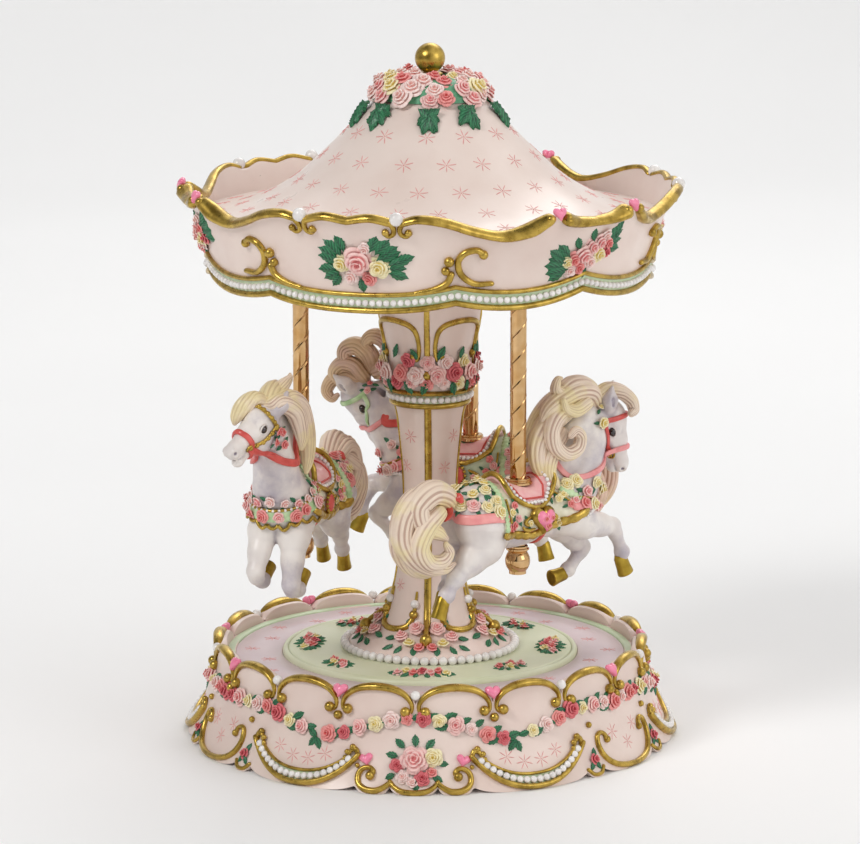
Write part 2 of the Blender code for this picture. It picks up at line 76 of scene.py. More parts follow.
class Paint:
    """A Principled material whose colour, roughness and relief come from nodes."""

    def __init__(self, name, roughness, metallic=0.0, coat=0.0, sheen=0.0):
        self.made = bpy.data.materials.new(name)
        self.made.use_nodes = True
        self.nodes = self.made.node_tree.nodes
        self.links = self.made.node_tree.links
        self.shader = self.nodes["Principled BSDF"]
        self.shader.inputs["Roughness"].default_value = roughness
        self.shader.inputs["Metallic"].default_value = metallic
        self.shader.inputs["Coat Weight"].default_value = coat
        self.shader.inputs["Coat Roughness"].default_value = 0.15
        self.shader.inputs["Sheen Weight"].default_value = sheen
        self.place = self.nodes.new("ShaderNodeTexCoord").outputs["Object"]

    def noise(self, scale, detail=3.0, roughness=0.5, stretch=None):
        place = self.place
        if stretch:
            mapping = self.nodes.new("ShaderNodeMapping")
            mapping.inputs["Scale"].default_value = stretch
            self.links.new(place, mapping.inputs["Vector"])
            place = mapping.outputs["Vector"]
        node = self.nodes.new("ShaderNodeTexNoise")
        node.inputs["Scale"].default_value = scale
        node.inputs["Detail"].default_value = detail
        node.inputs["Roughness"].default_value = roughness
        self.links.new(place, node.inputs["Vector"])
        return node.outputs["Fac"]

    def attribute(self, name):
        node = self.nodes.new("ShaderNodeAttribute")
        node.attribute_name = name
        return node.outputs["Fac"]

    def hollows(self, low, high):
        """0 in the hollows of the mesh and 1 on its crests."""
        return self.ramp(self.nodes.new("ShaderNodeNewGeometry").outputs["Pointiness"],
                         [(low, 0.0), (high, 1.0)])

    def ramp(self, value, stops):
        node = self.nodes.new("ShaderNodeValToRGB")
        ramp = node.color_ramp
        while len(ramp.elements) < len(stops):
            ramp.elements.new(0.5)
        for element, (position, colour) in zip(ramp.elements, stops):
            element.position = position
            if isinstance(colour, float):
                colour = (colour, colour, colour)
            element.color = (*colour, 1.0)
        self.links.new(value, node.inputs["Fac"])
        return node.outputs["Color"]

    def mix(self, share, first, second, blend="MIX"):
        node = self.nodes.new("ShaderNodeMix")
        node.data_type = "RGBA"
        node.blend_type = blend
        for socket, value in ((0, share), (6, first), (7, second)):
            if isinstance(value, bpy.types.NodeSocket):
                self.links.new(value, node.inputs[socket])
            elif socket:
                node.inputs[socket].default_value = (*value, 1.0)
            else:
                node.inputs[socket].default_value = value
        return node.outputs[2]

    def colour(self, value):
        self.links.new(value, self.shader.inputs["Base Color"])

    def rough(self, value, low, high):
        self.links.new(self.ramp(value, [(0.3, low), (0.7, high)]), self.shader.inputs["Roughness"])

    def relief(self, value, strength, distance):
        node = self.nodes.new("ShaderNodeBump")
        node.inputs["Strength"].default_value = strength
        node.inputs["Distance"].default_value = distance * MM
        self.links.new(value, node.inputs["Height"])
        self.links.new(node.outputs["Normal"], self.shader.inputs["Normal"])


def resin(name, light, dark, hollow_shade, roughness=0.38, coat=0.12):
    """Painted cast resin: soft mottling, painted shade in the hollows, a faint satin grain."""
    paint = Paint(name, roughness, coat=coat)
    mottled = paint.ramp(paint.noise(38.0, 4.0), [(0.35, srgb(dark)), (0.65, srgb(light))])
    # painted shade: the hollow colour darkens the resin wherever the mesh folds in
    colour = paint.mix(paint.hollows(0.42, 0.5), srgb(hollow_shade), mottled)
    paint.colour(colour)
    paint.rough(paint.noise(90.0, 3.0), roughness - 0.06, roughness + 0.08)
    paint.relief(paint.noise(650.0, 3.0), 0.12, 0.15)
    return paint.made


def gold_leaf():
    """Antique gold paint: bright crests over a brown glaze that stays in the hollows."""
    paint = Paint("antique_gold", 0.3, metallic=0.86, coat=0.1)
    worn = paint.ramp(paint.noise(210.0, 5.0, 0.6), [(0.33, srgb("94772C")), (0.6, srgb("C8A84F"))])
    paint.colour(paint.mix(paint.hollows(0.38, 0.51), srgb("54401A"), worn))
    paint.rough(paint.noise(330.0, 4.0), 0.22, 0.4)
    paint.relief(paint.noise(520.0, 4.0), 0.22, 0.12)
    return paint.made


def petal_paint(name, edge, heart):
    """Matt porcelain-like petals, deeper in colour towards the heart of the rose, partly the rose's own
    colour and partly painted shade in its hollow centre; the creases between petals get painted shade in the
    heart colour.
    """
    paint = Paint(name, 0.5, coat=0.05)
    shade = paint.ramp(paint.attribute("shade"), [(0.05, srgb(heart)), (0.75, srgb(edge))])
    # painted shade: the creases between the petals take the heart colour
    paint.colour(paint.mix(paint.hollows(0.38, 0.5), srgb(heart), shade))
    paint.rough(paint.noise(400.0, 2.0), 0.42, 0.6)
    paint.relief(paint.noise(900.0, 3.0), 0.15, 0.1)
    return paint.made


def leaf_paint():
    paint = Paint("leaf_green", 0.45, coat=0.08)
    shade = paint.ramp(paint.attribute("shade"), [(0.1, srgb("12382A")), (0.55, srgb("2F7D52")),
                                                  (1.0, srgb("5FA47C"))])
    # painted shade: the hollows of the leaves darken towards 10301F
    paint.colour(paint.mix(paint.hollows(0.40, 0.5), srgb("10301F"), shade))
    paint.rough(paint.noise(500.0, 2.0), 0.35, 0.6)
    paint.relief(paint.noise(800.0, 3.0), 0.2, 0.1)
    return paint.made


def hair_paint(name, light, dark, glow):
    """Moulded hair: streaks of painted shade that run with the locks, dark in the grooves between the strands
    and in the hollows.
    """
    paint = Paint(name, 0.42, coat=0.08)
    strand_shade = paint.ramp(paint.attribute("shade"), [(0.0, srgb(dark)), (0.45, srgb(light)),
                                                    (1.0, srgb(light))])
    blotch = paint.ramp(paint.noise(60.0, 4.0), [(0.48, 0.0), (0.60, 0.65)])
    shadow = paint.ramp(paint.noise(43.0, 5.0), [(0.52, 0.0), (0.66, 0.6)])
    mottled = paint.mix(shadow, paint.mix(blotch, strand_shade, srgb(glow)), srgb(dark))
    # painted shade: the hollows of the hair take the dark colour
    paint.colour(paint.mix(paint.hollows(0.44, 0.5), srgb(dark), mottled))
    paint.rough(paint.noise(300.0, 2.0), 0.34, 0.52)
    paint.relief(paint.noise(700.0, 3.0), 0.15, 0.1)
    return paint.made


def coat_paint():
    """The horses' ivory, washed with lavender grey in random blotches, with painted lavender-grey shade in
    the hollows.
    """
    paint = Paint("horse_ivory", 0.36, coat=0.15)
    base = paint.ramp(paint.noise(55.0, 3.0), [(0.35, srgb("D8CFCC")), (0.6, srgb("EDE6E0"))])
    wash = paint.mix(paint.ramp(paint.noise(46.0, 5.0, 0.62), [(0.47, 0.0), (0.66, 0.75)]), base,
                     srgb("AFA6B3"))
    # painted shade: the hollows of the sculpture darken towards 857A88
    paint.colour(paint.mix(paint.hollows(0.45, 0.502), srgb("857A88"), wash))
    paint.rough(paint.noise(200.0, 2.0), 0.3, 0.45)
    paint.relief(paint.noise(600.0, 3.0), 0.1, 0.1)
    return paint.made


def enamel(name, light, dark, roughness=0.3, coat=0.3):
    paint = Paint(name, roughness, coat=coat)
    paint.colour(paint.ramp(paint.noise(260.0, 3.0), [(0.35, srgb(dark)), (0.65, srgb(light))]))
    paint.rough(paint.noise(500.0, 2.0), max(0.04, roughness - 0.08), roughness + 0.08)
    paint.relief(paint.noise(900.0, 2.0), 0.06, 0.08)
    return paint.made


def metal(name, light, dark, roughness, brushed=None):
    paint = Paint(name, roughness, metallic=1.0)
    paint.colour(paint.ramp(paint.noise(160.0, 4.0, stretch=brushed),
                            [(0.3, srgb(dark)), (0.7, srgb(light))]))
    paint.rough(paint.noise(420.0, 4.0, stretch=brushed), max(0.03, roughness - 0.04), roughness + 0.07)
    return paint.made


PINK = resin("blush_resin", "ECDAD0", "E4CEC4", "BF9C92")
ROOF = resin("roof_resin", "ECDCD3", "E5D2C8", "C4A69C", roughness=0.33, coat=0.2)
MAUVE = resin("mauve_resin", "DBC8CB", "D2BEC3", "B49AA4")
GREEN = resin("sage_resin", "D9DCBE", "D0D5B2", "A9AF85", roughness=0.42)
MINT = resin("mint_resin", "CFE0BE", "BFD3AA", "8FA57C", roughness=0.45)
IVORY = coat_paint()
GOLD = gold_leaf()
PEARL = enamel("pearl_white", "F4F1EE", "E3DEDB", roughness=0.18, coat=0.6)
HEART = enamel("heart_pink", "F88FAE", "F27DA0", roughness=0.2, coat=0.6)
STAR = enamel("star_pink", "E4A09C", "DD9694", roughness=0.5, coat=0.0)
RED = enamel("ribbon_red", "DB5A52", "C8453F", roughness=0.4)
CORAL_STRAP = enamel("strap_pink", "F3A3A0", "E98F90", roughness=0.42)
BLANKET = enamel("blanket_mint", "D3E3CB", "BFD6B6", roughness=0.5, coat=0.05)
CLOTH = enamel("blanket_cream", "EFEBD6", "E2DDC0", roughness=0.5, coat=0.05)
SEAT = enamel("seat_pink", "F6C6C4", "EFAFB2", roughness=0.45)
LIME = enamel("ribbon_mint", "CBE3B6", "A9CB93", roughness=0.45, coat=0.05)
EYE = enamel("eye_dark", "2A1612", "120808", roughness=0.08, coat=0.8)
HOOF = metal("hoof_gold", "C9AC4A", "8E7226", 0.34)
BRASS = metal("copper_brass", "DDB98A", "C79A62", 0.06)
STEEL = metal("bright_steel", "B9B9BC", "8F8F94", 0.25, brushed=(1.0, 1.0, 6.0))
NYLON = enamel("white_nylon", "DEDCD2", "D2D0C6", roughness=0.5, coat=0.0)
BOARD = enamel("base_board", "2A2A2C", "1C1C1F", roughness=0.8, coat=0.0)
LEAF = leaf_paint()
ROSES = {
    "pink": petal_paint("rose_pink", "F7CFC9", "E98F90"),
    "coral": petal_paint("rose_coral", "F2A09B", "D9605F"),
    "deep": petal_paint("rose_deep", "E2757B", "B93A46"),
    "cream": petal_paint("rose_cream", "F7EDC4", "E6CE72"),
    "blush": petal_paint("rose_blush", "F8E2DC", "ECB5AC"),
}
BLOND = hair_paint("mane_blond", "EBD8C4", "BFA08E", "EBDCA0")
TAN = hair_paint("mane_tan", "DFC0AC", "A88068", "E4C999")


# ---------------------------------------------------------------- shapes
def polar(radius, angle, z=0.0):
    """Points from radius, angle and height, which may be arrays."""
    turn = np.radians(angle)
    radius, turn, z = np.broadcast_arrays(np.asarray(radius, float), turn, np.asarray(z, float))
    return np.stack([radius * np.sin(turn), -radius * np.cos(turn), z], axis=-1)


def unit(vectors):
    length = np.linalg.norm(vectors, axis=-1, keepdims=True)
    return vectors / np.maximum(length, 1e-9)


TABLE_GAP = 0.05  # nothing cast or painted reaches below this height


class Shape:
    """Gathers closed pieces of mesh in millimetres and makes one object of them."""

    def __init__(self):
        self.points = []
        self.faces = []
        self.shades = []
        self.count = 0

    def add(self, points, faces, shade=1.0):
        points = np.asarray(points, float).reshape(-1, 3)
        self.faces += [tuple(int(i) + self.count for i in face) for face in faces]
        self.points.append(points)
        self.shades.append(np.broadcast_to(np.asarray(shade, float), (len(points),)))
        self.count += len(points)

    def finish(self, name, body, mat, slot, replaces=(), flat_angle=50.0, seat=None):
        """seat turns the points from a horse's own frame into the carousel's."""
        mesh = bpy.data.meshes.new(name)
        points = np.concatenate(self.points)
        points = seat(points) if seat else points
        points[:, 2] = np.maximum(points[:, 2], TABLE_GAP)
        mesh.from_pydata((points * MM).tolist(), [], self.faces)
        mesh.shade_smooth()
        mesh.set_sharp_from_angle(angle=math.radians(flat_angle))
        layer = mesh.attributes.new("shade", "FLOAT", "POINT")
        layer.data.foreach_set("value", np.concatenate(self.shades).astype(np.float32))
        mesh.materials.append(mat)
        made = bpy.data.objects.new(name, mesh)
        bpy.context.scene.collection.objects.link(made)
        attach(made, body)
        if replaces:
            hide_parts(*replaces)
        return made


def grid_faces(rows, columns, wrap_rows=False, wrap_columns=False, start=0):
    """Quads of a grid stored row by row."""
    row = np.arange(rows if wrap_rows else rows - 1)
    column = np.arange(columns if wrap_columns else columns - 1)
    r, c = np.meshgrid(row, column, indexing="ij")
    r2 = (r + 1) % rows
    c2 = (c + 1) % columns
    quads = np.stack([r * columns + c, r * columns + c2, r2 * columns + c2, r2 * columns + c], axis=-1)
    return (quads.reshape(-1, 4) + start).tolist()


def shell_faces(rows, columns):
    """Faces of a sheet stored twice, outer layer first, closed round its rim."""
    size = rows * columns
    outer = grid_faces(rows, columns)
    faces = outer + [[i + size for i in face][::-1] for face in outer]
    rim = list(range(columns)) + [r * columns + columns - 1 for r in range(1, rows)]
    rim += list(range(size - 2, size - columns - 1, -1)) + [r * columns for r in range(rows - 2, 0, -1)]
    for here, there in zip(rim, rim[1:] + rim[:1]):
        faces.append([there, here, here + size, there + size])
    return faces


def ring_loft(shape, section, columns, shade=1.0):
    """A closed ring: section(angles) gives (columns, rows, 2) radii and heights, outer side rising."""
    angles = np.arange(columns) * 360.0 / columns
    profile = section(angles)
    rows = profile.shape[1]
    points = polar(profile[..., 0], angles[:, None], profile[..., 1])
    faces = grid_faces(columns, rows, True, True)
    shape.add(points, [face[::-1] for face in faces], shade)


def tube(shape, path, radius, up, wide=1.0, tall=1.0, sides=12, round_ends=True, closed=False, strands=0,
         depth=0.0, drift=0.0):
    """A tube along path, its section's tall side along up; strands cut grooves that wander by drift."""
    path = np.asarray(path, float)
    count = len(path)
    radius = np.broadcast_to(np.asarray(radius, float), (count,)).copy()
    up = np.broadcast_to(np.asarray(up, float), path.shape)
    if closed:
        along = unit(np.roll(path, -1, 0) - np.roll(path, 1, 0))
    else:
        along = unit(np.gradient(path, axis=0))
    if round_ends and not closed:
        steps = np.radians([90.0, 60.0, 30.0])
        head = [path[0] - along[0] * radius[0] * math.sin(s) for s in steps]
        foot = [path[-1] + along[-1] * radius[-1] * math.sin(s) for s in steps[::-1]]
        path = np.concatenate([head, path, foot])
        up = np.concatenate([np.repeat(up[:1], 3, 0), up, np.repeat(up[-1:], 3, 0)])
        along = np.concatenate([np.repeat(along[:1], 3, 0), along, np.repeat(along[-1:], 3, 0)])
        shrink = np.maximum(np.cos(steps), 0.02)
        radius = np.concatenate([radius[0] * shrink, radius, radius[-1] * shrink[::-1]])
    side = unit(np.cross(along, up))
    rise = unit(np.cross(side, along))
    turn = np.arange(sides) * 2.0 * math.pi / sides
    rows = len(path)
    share = np.linspace(0.0, 1.0, rows)[:, None]
    phase = strands * turn + drift * (5.0 * share + 1.1 * np.sin(2.0 * turn + 4.0 * share + drift))
    uneven = 1.0 - (0.35 * np.sin(3.0 * turn + 7.0 * share + 2.0 * drift) if drift else 0.0)
    grooves = 1.0 - depth * (0.5 + 0.5 * np.cos(phase)) * uneven if strands else np.ones((rows, sides))
    level = side[:, None] * np.cos(turn)[None, :, None] * wide
    wall = level + rise[:, None] * np.sin(turn)[None, :, None] * tall
    points = path[:, None] + wall * (radius[:, None] * grooves)[..., None]
    faces = grid_faces(rows, sides, closed, True)
    faces = [face[::-1] for face in faces]
    if not closed:
        faces.append(list(range(sides)))
        faces.append(list(range((rows - 1) * sides, rows * sides))[::-1])
    # tone goes into the shade attribute; on grooved tubes it is painted shade, 0 at the bottom of each groove
    # and 1 on the strands' crests
    tone = np.clip((grooves - (1.0 - depth)) / depth, 0.0, 1.0) if strands else grooves
    shape.add(points, faces, tone.reshape(-1))


def ball(shape, centre, radius, detail=16, squash=(1.0, 1.0, 1.0)):
    rings = detail // 2
    tilt = np.linspace(0.0, math.pi, rings + 1)[1:-1]
    turn = np.arange(detail) * 2.0 * math.pi / detail
    body = np.stack(
        [np.sin(tilt)[:, None] * np.cos(turn), np.sin(tilt)[:, None] * np.sin(turn),
         np.cos(tilt)[:, None] * np.ones(detail)], axis=-1).reshape(-1, 3)
    points = np.concatenate([[[0, 0, 1.0]], body, [[0, 0, -1.0]]]) * radius * np.asarray(squash) + centre
    faces = [face[::-1] for face in grid_faces(rings - 1, detail, False, True, 1)]
    last = len(points) - 1
    foot = last - detail
    faces += [[0, 1 + i, 1 + (i + 1) % detail] for i in range(detail)]
    faces += [[last, foot + (i + 1) % detail, foot + i] for i in range(detail)]
    shape.add(points, faces)


def smooth_path(points, steps=8, closed=False):
    """Catmull-Rom curve through points of any width."""
    points = np.asarray(points, float)
    if closed:
        ring = np.concatenate([points[-1:], points, points[:2]])
    else:
        ring = np.concatenate([2 * points[:1] - points[1:2], points, 2 * points[-1:] - points[-2:-1]])
    t = np.arange(steps)[:, None] / steps
    out = []
    for a, b, c, d in zip(ring, ring[1:], ring[2:], ring[3:]):
        square = 2 * a - 5 * b + 4 * c - d
        cube = 3 * b - a - 3 * c + d
        out.append(0.5 * (2 * b + (c - a) * t + square * t**2 + cube * t**3))
    if not closed:
        out.append(ring[-2:-1])
    return np.concatenate(out)


UP = (0, 0, 1.0)


def basis(normal, up):
    """A frame whose third axis is normal and whose second leans towards up."""
    normal = unit(np.asarray(normal, float))
    side = np.cross(up, normal)
    if np.linalg.norm(side) < 1e-6:
        side = np.cross((1.0, 0.3, 0.0), normal)
    side = unit(side)
    return np.stack([side, np.cross(normal, side), normal])


def heading(normal, turn, up=UP):
    """The direction on a surface that lies turn degrees from up, clockwise seen from outside."""
    side, rise, _ = basis(normal, up)
    return side * math.sin(math.radians(turn)) + rise * math.cos(math.radians(turn))


def put(shape, template, centre, normal, up, size, spin=0.0):
    """Places a template, which stands on its own XY plane, on a surface."""
    points, faces, shade = template
    turn = math.radians(spin)
    cosine, sine = math.cos(turn), math.sin(turn)
    turned = points @ np.array([[cosine, sine, 0.0], [-sine, cosine, 0.0], [0.0, 0.0, 1.0]])
    shape.add(np.asarray(centre) + size * (turned @ basis(normal, up)), faces, shade)


class Surface:
    """A surface round the axis, point(angle, along), that also gives its normal and lifted points."""

    def __init__(self, point):
        self.point = point

    def normal(self, angle, along):
        round_it = self.point(angle + 0.05, along) - self.point(angle - 0.05, along)
        up_it = self.point(angle, along + 0.05) - self.point(angle, along - 0.05)
        return unit(np.cross(round_it, up_it))

    def at(self, angle, along, lift=0.0):
        angle = np.asarray(angle, float)
        along = np.asarray(along, float)
        normal = self.normal(angle, along)
        return self.point(angle, along) + normal * np.asarray(lift)[..., None], normal


# ---------------------------------------------------------------- templates
def petal_patch(turn, half_width, near, far, foot, top, curl, columns=7, rows=5, thick=0.035):
    """One closed cupped petal of a rose of radius 1."""
    across = np.linspace(-1.0, 1.0, columns)[None, :]
    along = np.linspace(0.0, 1.0, rows)[:, None]
    reach = near + (far - near) * along**0.8 * (1.0 - 0.34 * across**2) + 0.05 * across * along
    height = foot + (top - foot) * np.sin(along * math.pi / 2) * (1.0 - 0.34 * across**2) - curl * along**4
    angle = turn + half_width * across * (0.75 + 0.25 * along) + 0.0 * along
    layers = []
    for inset in (0.0, thick):
        radius = reach - inset * (1.0 - 0.6 * along)
        z = height + inset * along * 0.9
        layers.append(np.stack([radius * np.cos(angle), radius * np.sin(angle), z + 0 * angle], axis=-1))
    points = np.concatenate([layers[0].reshape(-1, 3), layers[1].reshape(-1, 3)])
    shade = np.tile((along**1.3 * (1.0 - 0.15 * across**2)).reshape(-1), 2)
    return points, shell_faces(rows, columns), shade


def rose_template(layers, seed, patch):
    """Layers of petals round a bud: each is (petals, half width, near, far, foot, top, curl)."""
    rng = np.random.default_rng(seed)
    shape = Shape()
    for petals, half, near, far, foot, top, curl in layers:
        start = rng.uniform(0.0, 360.0)
        for petal in range(petals):
            turn = math.radians(start + 360.0 * petal / petals + rng.uniform(-6.0, 6.0))
            grow = rng.uniform(0.93, 1.05)
            shape.add(*petal_patch(turn, math.radians(half), near, far * grow, foot, top * grow, curl,
                                   *patch))
    ball(shape, (0.0, 0.0, 0.2), 0.5, 10, (1.15, 1.15, 0.75))
    shape.shades[-1] = np.zeros(len(shape.points[-1]))
    return np.concatenate(shape.points), shape.faces, np.concatenate(shape.shades)


FULL_ROSE = (
    (5, 43.0, 0.35, 1.06, -0.05, 0.30, 0.24), (5, 44.0, 0.26, 0.82, 0.12, 0.56, 0.18),
    (4, 52.0, 0.18, 0.55, 0.28, 0.74, 0.10), (3, 64.0, 0.10, 0.30, 0.42, 0.88, 0.04),
)
SMALL_ROSE = (
    (5, 43.0, 0.36, 1.04, -0.05, 0.40, 0.22), (4, 50.0, 0.20, 0.66, 0.20, 0.72, 0.12),
    (2, 92.0, 0.06, 0.30, 0.40, 0.92, 0.02),
)
BIG = [rose_template(FULL_ROSE, seed, (7, 5)) for seed in range(3)]
SMALL = [rose_template(SMALL_ROSE, seed, (5, 4)) for seed in range(10, 14)]


def leaf_template(teeth=5, seed=0):
    """A closed serrated leaf of length 1 lying along +Y, with its veins raised."""
    rng = np.random.default_rng(seed)
    rows, half = 4 * teeth + 1, 4
    along = np.linspace(0.0, 1.0, rows)[:, None]
    across = np.linspace(-1.0, 1.0, 2 * half + 1)[None, :]
    saw = 0.78 + 0.30 * ((along * teeth + 0.15) % 1.0)
    width = 0.27 * np.sin(math.pi * np.clip(along, 0.015, 0.985) ** 0.8) ** 0.75 * saw
    sag = 0.10 * np.abs(across) ** 1.5 + 0.22 * along**2 + rng.uniform(-0.02, 0.02)
    vein = np.cos(math.pi * 2.0 * (teeth * along - 1.4 * np.abs(across)))
    height = 0.16 - sag + 0.022 * vein * (1.0 - np.abs(across)) + 0.03 * np.exp(-(across * 5.0) ** 2)
    top = np.stack([width * across, along + 0.06 * np.abs(across), height], axis=-1).reshape(-1, 3)
    low = top - np.array([0.0, 0.0, 0.07])
    tone = 0.45 + 0.28 * vein - 0.25 * (1.0 - np.abs(across)) ** 6
    faces = shell_faces(rows, 2 * half + 1)
    return np.concatenate([top, low]), faces, np.tile((tone + 0 * along).reshape(-1), 2)


LEAVES = [leaf_template(4, 1), leaf_template(5, 2), leaf_template(6, 3)]


def heart_template():
    """A puffed heart about 2 wide, its point towards -Y."""
    turn = np.linspace(0.0, 2.0 * math.pi, 40, endpoint=False)
    edge = np.stack([np.sin(turn) ** 3, (13 * np.cos(turn) - 5 * np.cos(2 * turn) - 2 * np.cos(3 * turn)
                                         - np.cos(4 * turn)) / 16.0 + 0.12], axis=-1)
    rings = []
    for tilt in np.radians([-60.0, -30.0, 0.0, 25.0, 50.0, 72.0]):
        rings.append(np.concatenate([edge * math.cos(tilt), np.full((40, 1), 0.55 * math.sin(tilt))],
                                    axis=1))
    points = np.concatenate([*rings, [[0, 0, -0.55], [0, 0, 0.56]]])
    rows = len(rings)
    faces = grid_faces(rows, 40, False, True)
    foot, top = rows * 40, rows * 40 + 1
    faces += [[foot, (i + 1) % 40, i] for i in range(40)]
    faces += [[top, (rows - 1) * 40 + i, (rows - 1) * 40 + (i + 1) % 40] for i in range(40)]
    return points, [face[::-1] for face in faces], np.ones(len(points))


HEART_SHAPE = heart_template()


def stroke_template():
    """A brush stroke of length 1 along +Y, thickest past its middle."""
    along = np.linspace(0.0, 1.0, 6)
    width = np.array([0.02, 0.045, 0.065, 0.07, 0.055, 0.02])
    left = np.stack([-width, along, np.zeros(6)], axis=-1)
    right = np.stack([width, along, np.zeros(6)], axis=-1)
    crest = np.stack([np.zeros(6), along, np.full(6, 0.045)], axis=-1)
    foot = np.stack([np.zeros(6), along, np.full(6, -0.12)], axis=-1)
    points = np.concatenate([left, crest, right, foot])
    faces = []
    for k in range(5):
        for a, b in ((0, 6), (6, 12), (12, 18), (18, 0)):
            faces.append([a + k, a + k + 1, b + k + 1, b + k])
    faces += [[0, 6, 12, 18], [23, 17, 11, 5]]
    return points, [face[::-1] for face in faces], np.ones(len(points))


STROKE = stroke_template()


class Flowers:
    """Roses in several colours and their leaves on one body, each colour one object in the end."""

    def __init__(self):
        self.by_colour = {colour: Shape() for colour in ROSES}
        self.leaves = Shape()

    def rose(self, colour, centre, normal, radius, lift=0.25):
        normal = unit(np.asarray(normal, float) + RNG.normal(0.0, 0.10, 3))
        template = BIG[int(RNG.integers(3))] if radius > 2.6 else SMALL[int(RNG.integers(4))]
        place = np.asarray(centre) + normal * radius * (lift - 0.25)
        put(self.by_colour[colour], template, place, normal, UP, radius, RNG.uniform(0.0, 360.0))

    def leaf(self, centre, normal, toward, length):
        template = LEAVES[int(RNG.integers(3))]
        put(self.leaves, template, centre, normal, toward, length)

    def finish(self, name, body, seat=None):
        for colour, shape in self.by_colour.items():
            if shape.count:
                shape.finish(f"{name}_roses_{colour}", body, ROSES[colour], "rose_resin", flat_angle=80.0,
                             seat=seat)
        if self.leaves.count:
            self.leaves.finish(f"{name}_leaves", body, LEAF, "leaf_resin", flat_angle=60.0, seat=seat)


def star(shape, surface, angle, along, size, strokes=7):
    """A painted asterisk of short strokes round a dot, a little proud of the surface."""
    centre, normal = surface.at(angle, along, 0.02)
    start = RNG.uniform(0.0, 360.0)
    frame_axes = basis(normal, UP)
    for number in range(strokes):
        turn = math.radians(start + 360.0 * number / strokes)
        way = frame_axes[0] * math.cos(turn) + frame_axes[1] * math.sin(turn)
        put(shape, STROKE, centre + way * size * 0.16, normal, way, size * RNG.uniform(0.75, 0.95))
    ball(shape, centre, size * 0.085, 8, (1, 1, 1))


# ---------------------------------------------------------------- base
def fold(angle, period=PANEL):
    """The angle from the nearest multiple of period, without its sign."""
    away = np.mod(angle, period)
    return np.minimum(away, period - away)


LOBE_ENDS = np.array([0.0, 5.5, 13.7, 43.7, 49.0, 60.0])


def lobe_share(angle):
    """How far across its lobe of the bottom edge an angle lies, -1 to 1; the outer two lobes are halves."""
    away = fold(angle)
    lobe = np.clip(np.searchsorted(LOBE_ENDS, away, side="right") - 1, 0, 4)
    low, high = LOBE_ENDS[lobe], LOBE_ENDS[lobe + 1]
    low = np.where(lobe == 0, -high, low)
    high = np.where(lobe == 4, 120.0 - low, high)
    return 2.0 * (away - low) / (high - low) - 1.0


def skirt_foot(angle):
    return 2.4 * np.abs(lobe_share(angle)) ** 5


def skirt_top(angle):
    share = np.abs(2.0 * (np.mod(angle, ARCH) / ARCH) - 1.0)
    return LEDGE_Z - 1.2 + 6.1 * np.sqrt(np.clip(1.0 - share**2.6, 0.0, 1.0))


def skirt_radius(angle, z):
    flare = 88.4 + 12.2 * np.clip((44.0 - z) / 44.0, 0.0, 1.0) ** 1.75
    wave = 0.8 * np.cos(np.radians(3.0 * angle)) * (1.0 - z / 60.0)
    lobe = 0.9 * (1.0 - np.abs(lobe_share(angle)) ** 3) * np.exp(-np.clip(z, 0, 99) / 5.0)
    return flare + wave + lobe


SKIRT = Surface(lambda angle, z: polar(skirt_radius(np.asarray(angle), np.asarray(z)), angle, z))


def skirt_section(angles):
    foot = skirt_foot(angles)[:, None]
    top = skirt_top(angles)[:, None]
    share = np.linspace(0.0, 1.0, 30)[None, :]
    z = foot + (top - foot) * share
    outer = skirt_radius(angles[:, None], z)
    crest = outer[:, -1:]
    rim_r = crest - np.array([[0.5, 3.2, 3.9, 4.2, 7.3, 7.6, 8.2]])
    rim_z = np.concatenate(
        [top + 0.2, top + 0.2, top - 0.3, np.minimum(top, LEDGE_Z) + 0 * top, LEDGE_Z + 0 * top,
         LEDGE_Z - 0.6 + 0 * top, LEDGE_Z - 3.0 + 0 * top], axis=1)
    rim_z[:, 3] = LEDGE_Z
    inner_r = np.tile([84.0, 88.5, 94.0], (len(angles), 1))
    inner_z = np.concatenate([np.full_like(foot, 21.0), np.full_like(foot, 8.8), foot], axis=1)
    radius = np.concatenate([outer, rim_r, inner_r], axis=1)
    height = np.concatenate([z, rim_z, inner_z], axis=1)
    return np.stack([radius, height], axis=-1)


def turned_ring(profile):
    """A section function for a round ring from closed (radius, z) points, outer side rising."""
    profile = np.asarray(profile, float)
    return lambda angles: np.tile(profile, (len(angles), 1, 1))


def surface_tube(shape, surface, controls, radius, lift=0.4, wide=1.0, tall=1.0, steps=8, sides=12, **more):
    """A scroll along (angle, height) controls on a surface; radius is one number or one for each control."""
    controls = np.asarray(controls, float)
    radius = np.broadcast_to(np.asarray(radius, float), (len(controls),))
    track = smooth_path(np.column_stack([controls, radius]), steps)
    points, normal = surface.at(track[:, 0], track[:, 1], lift)
    tube(shape, points, track[:, 2], normal, wide=wide, tall=tall, sides=sides, **more)


def surface_ball(shape, surface, angle, along, radius, lift=None, detail=14):
    point, _ = surface.at(angle, along, radius * 0.45 if lift is None else lift)
    ball(shape, point, radius, detail)


def mirrored(controls, centre):
    return [(2.0 * centre - c[0], *c[1:]) for c in controls]


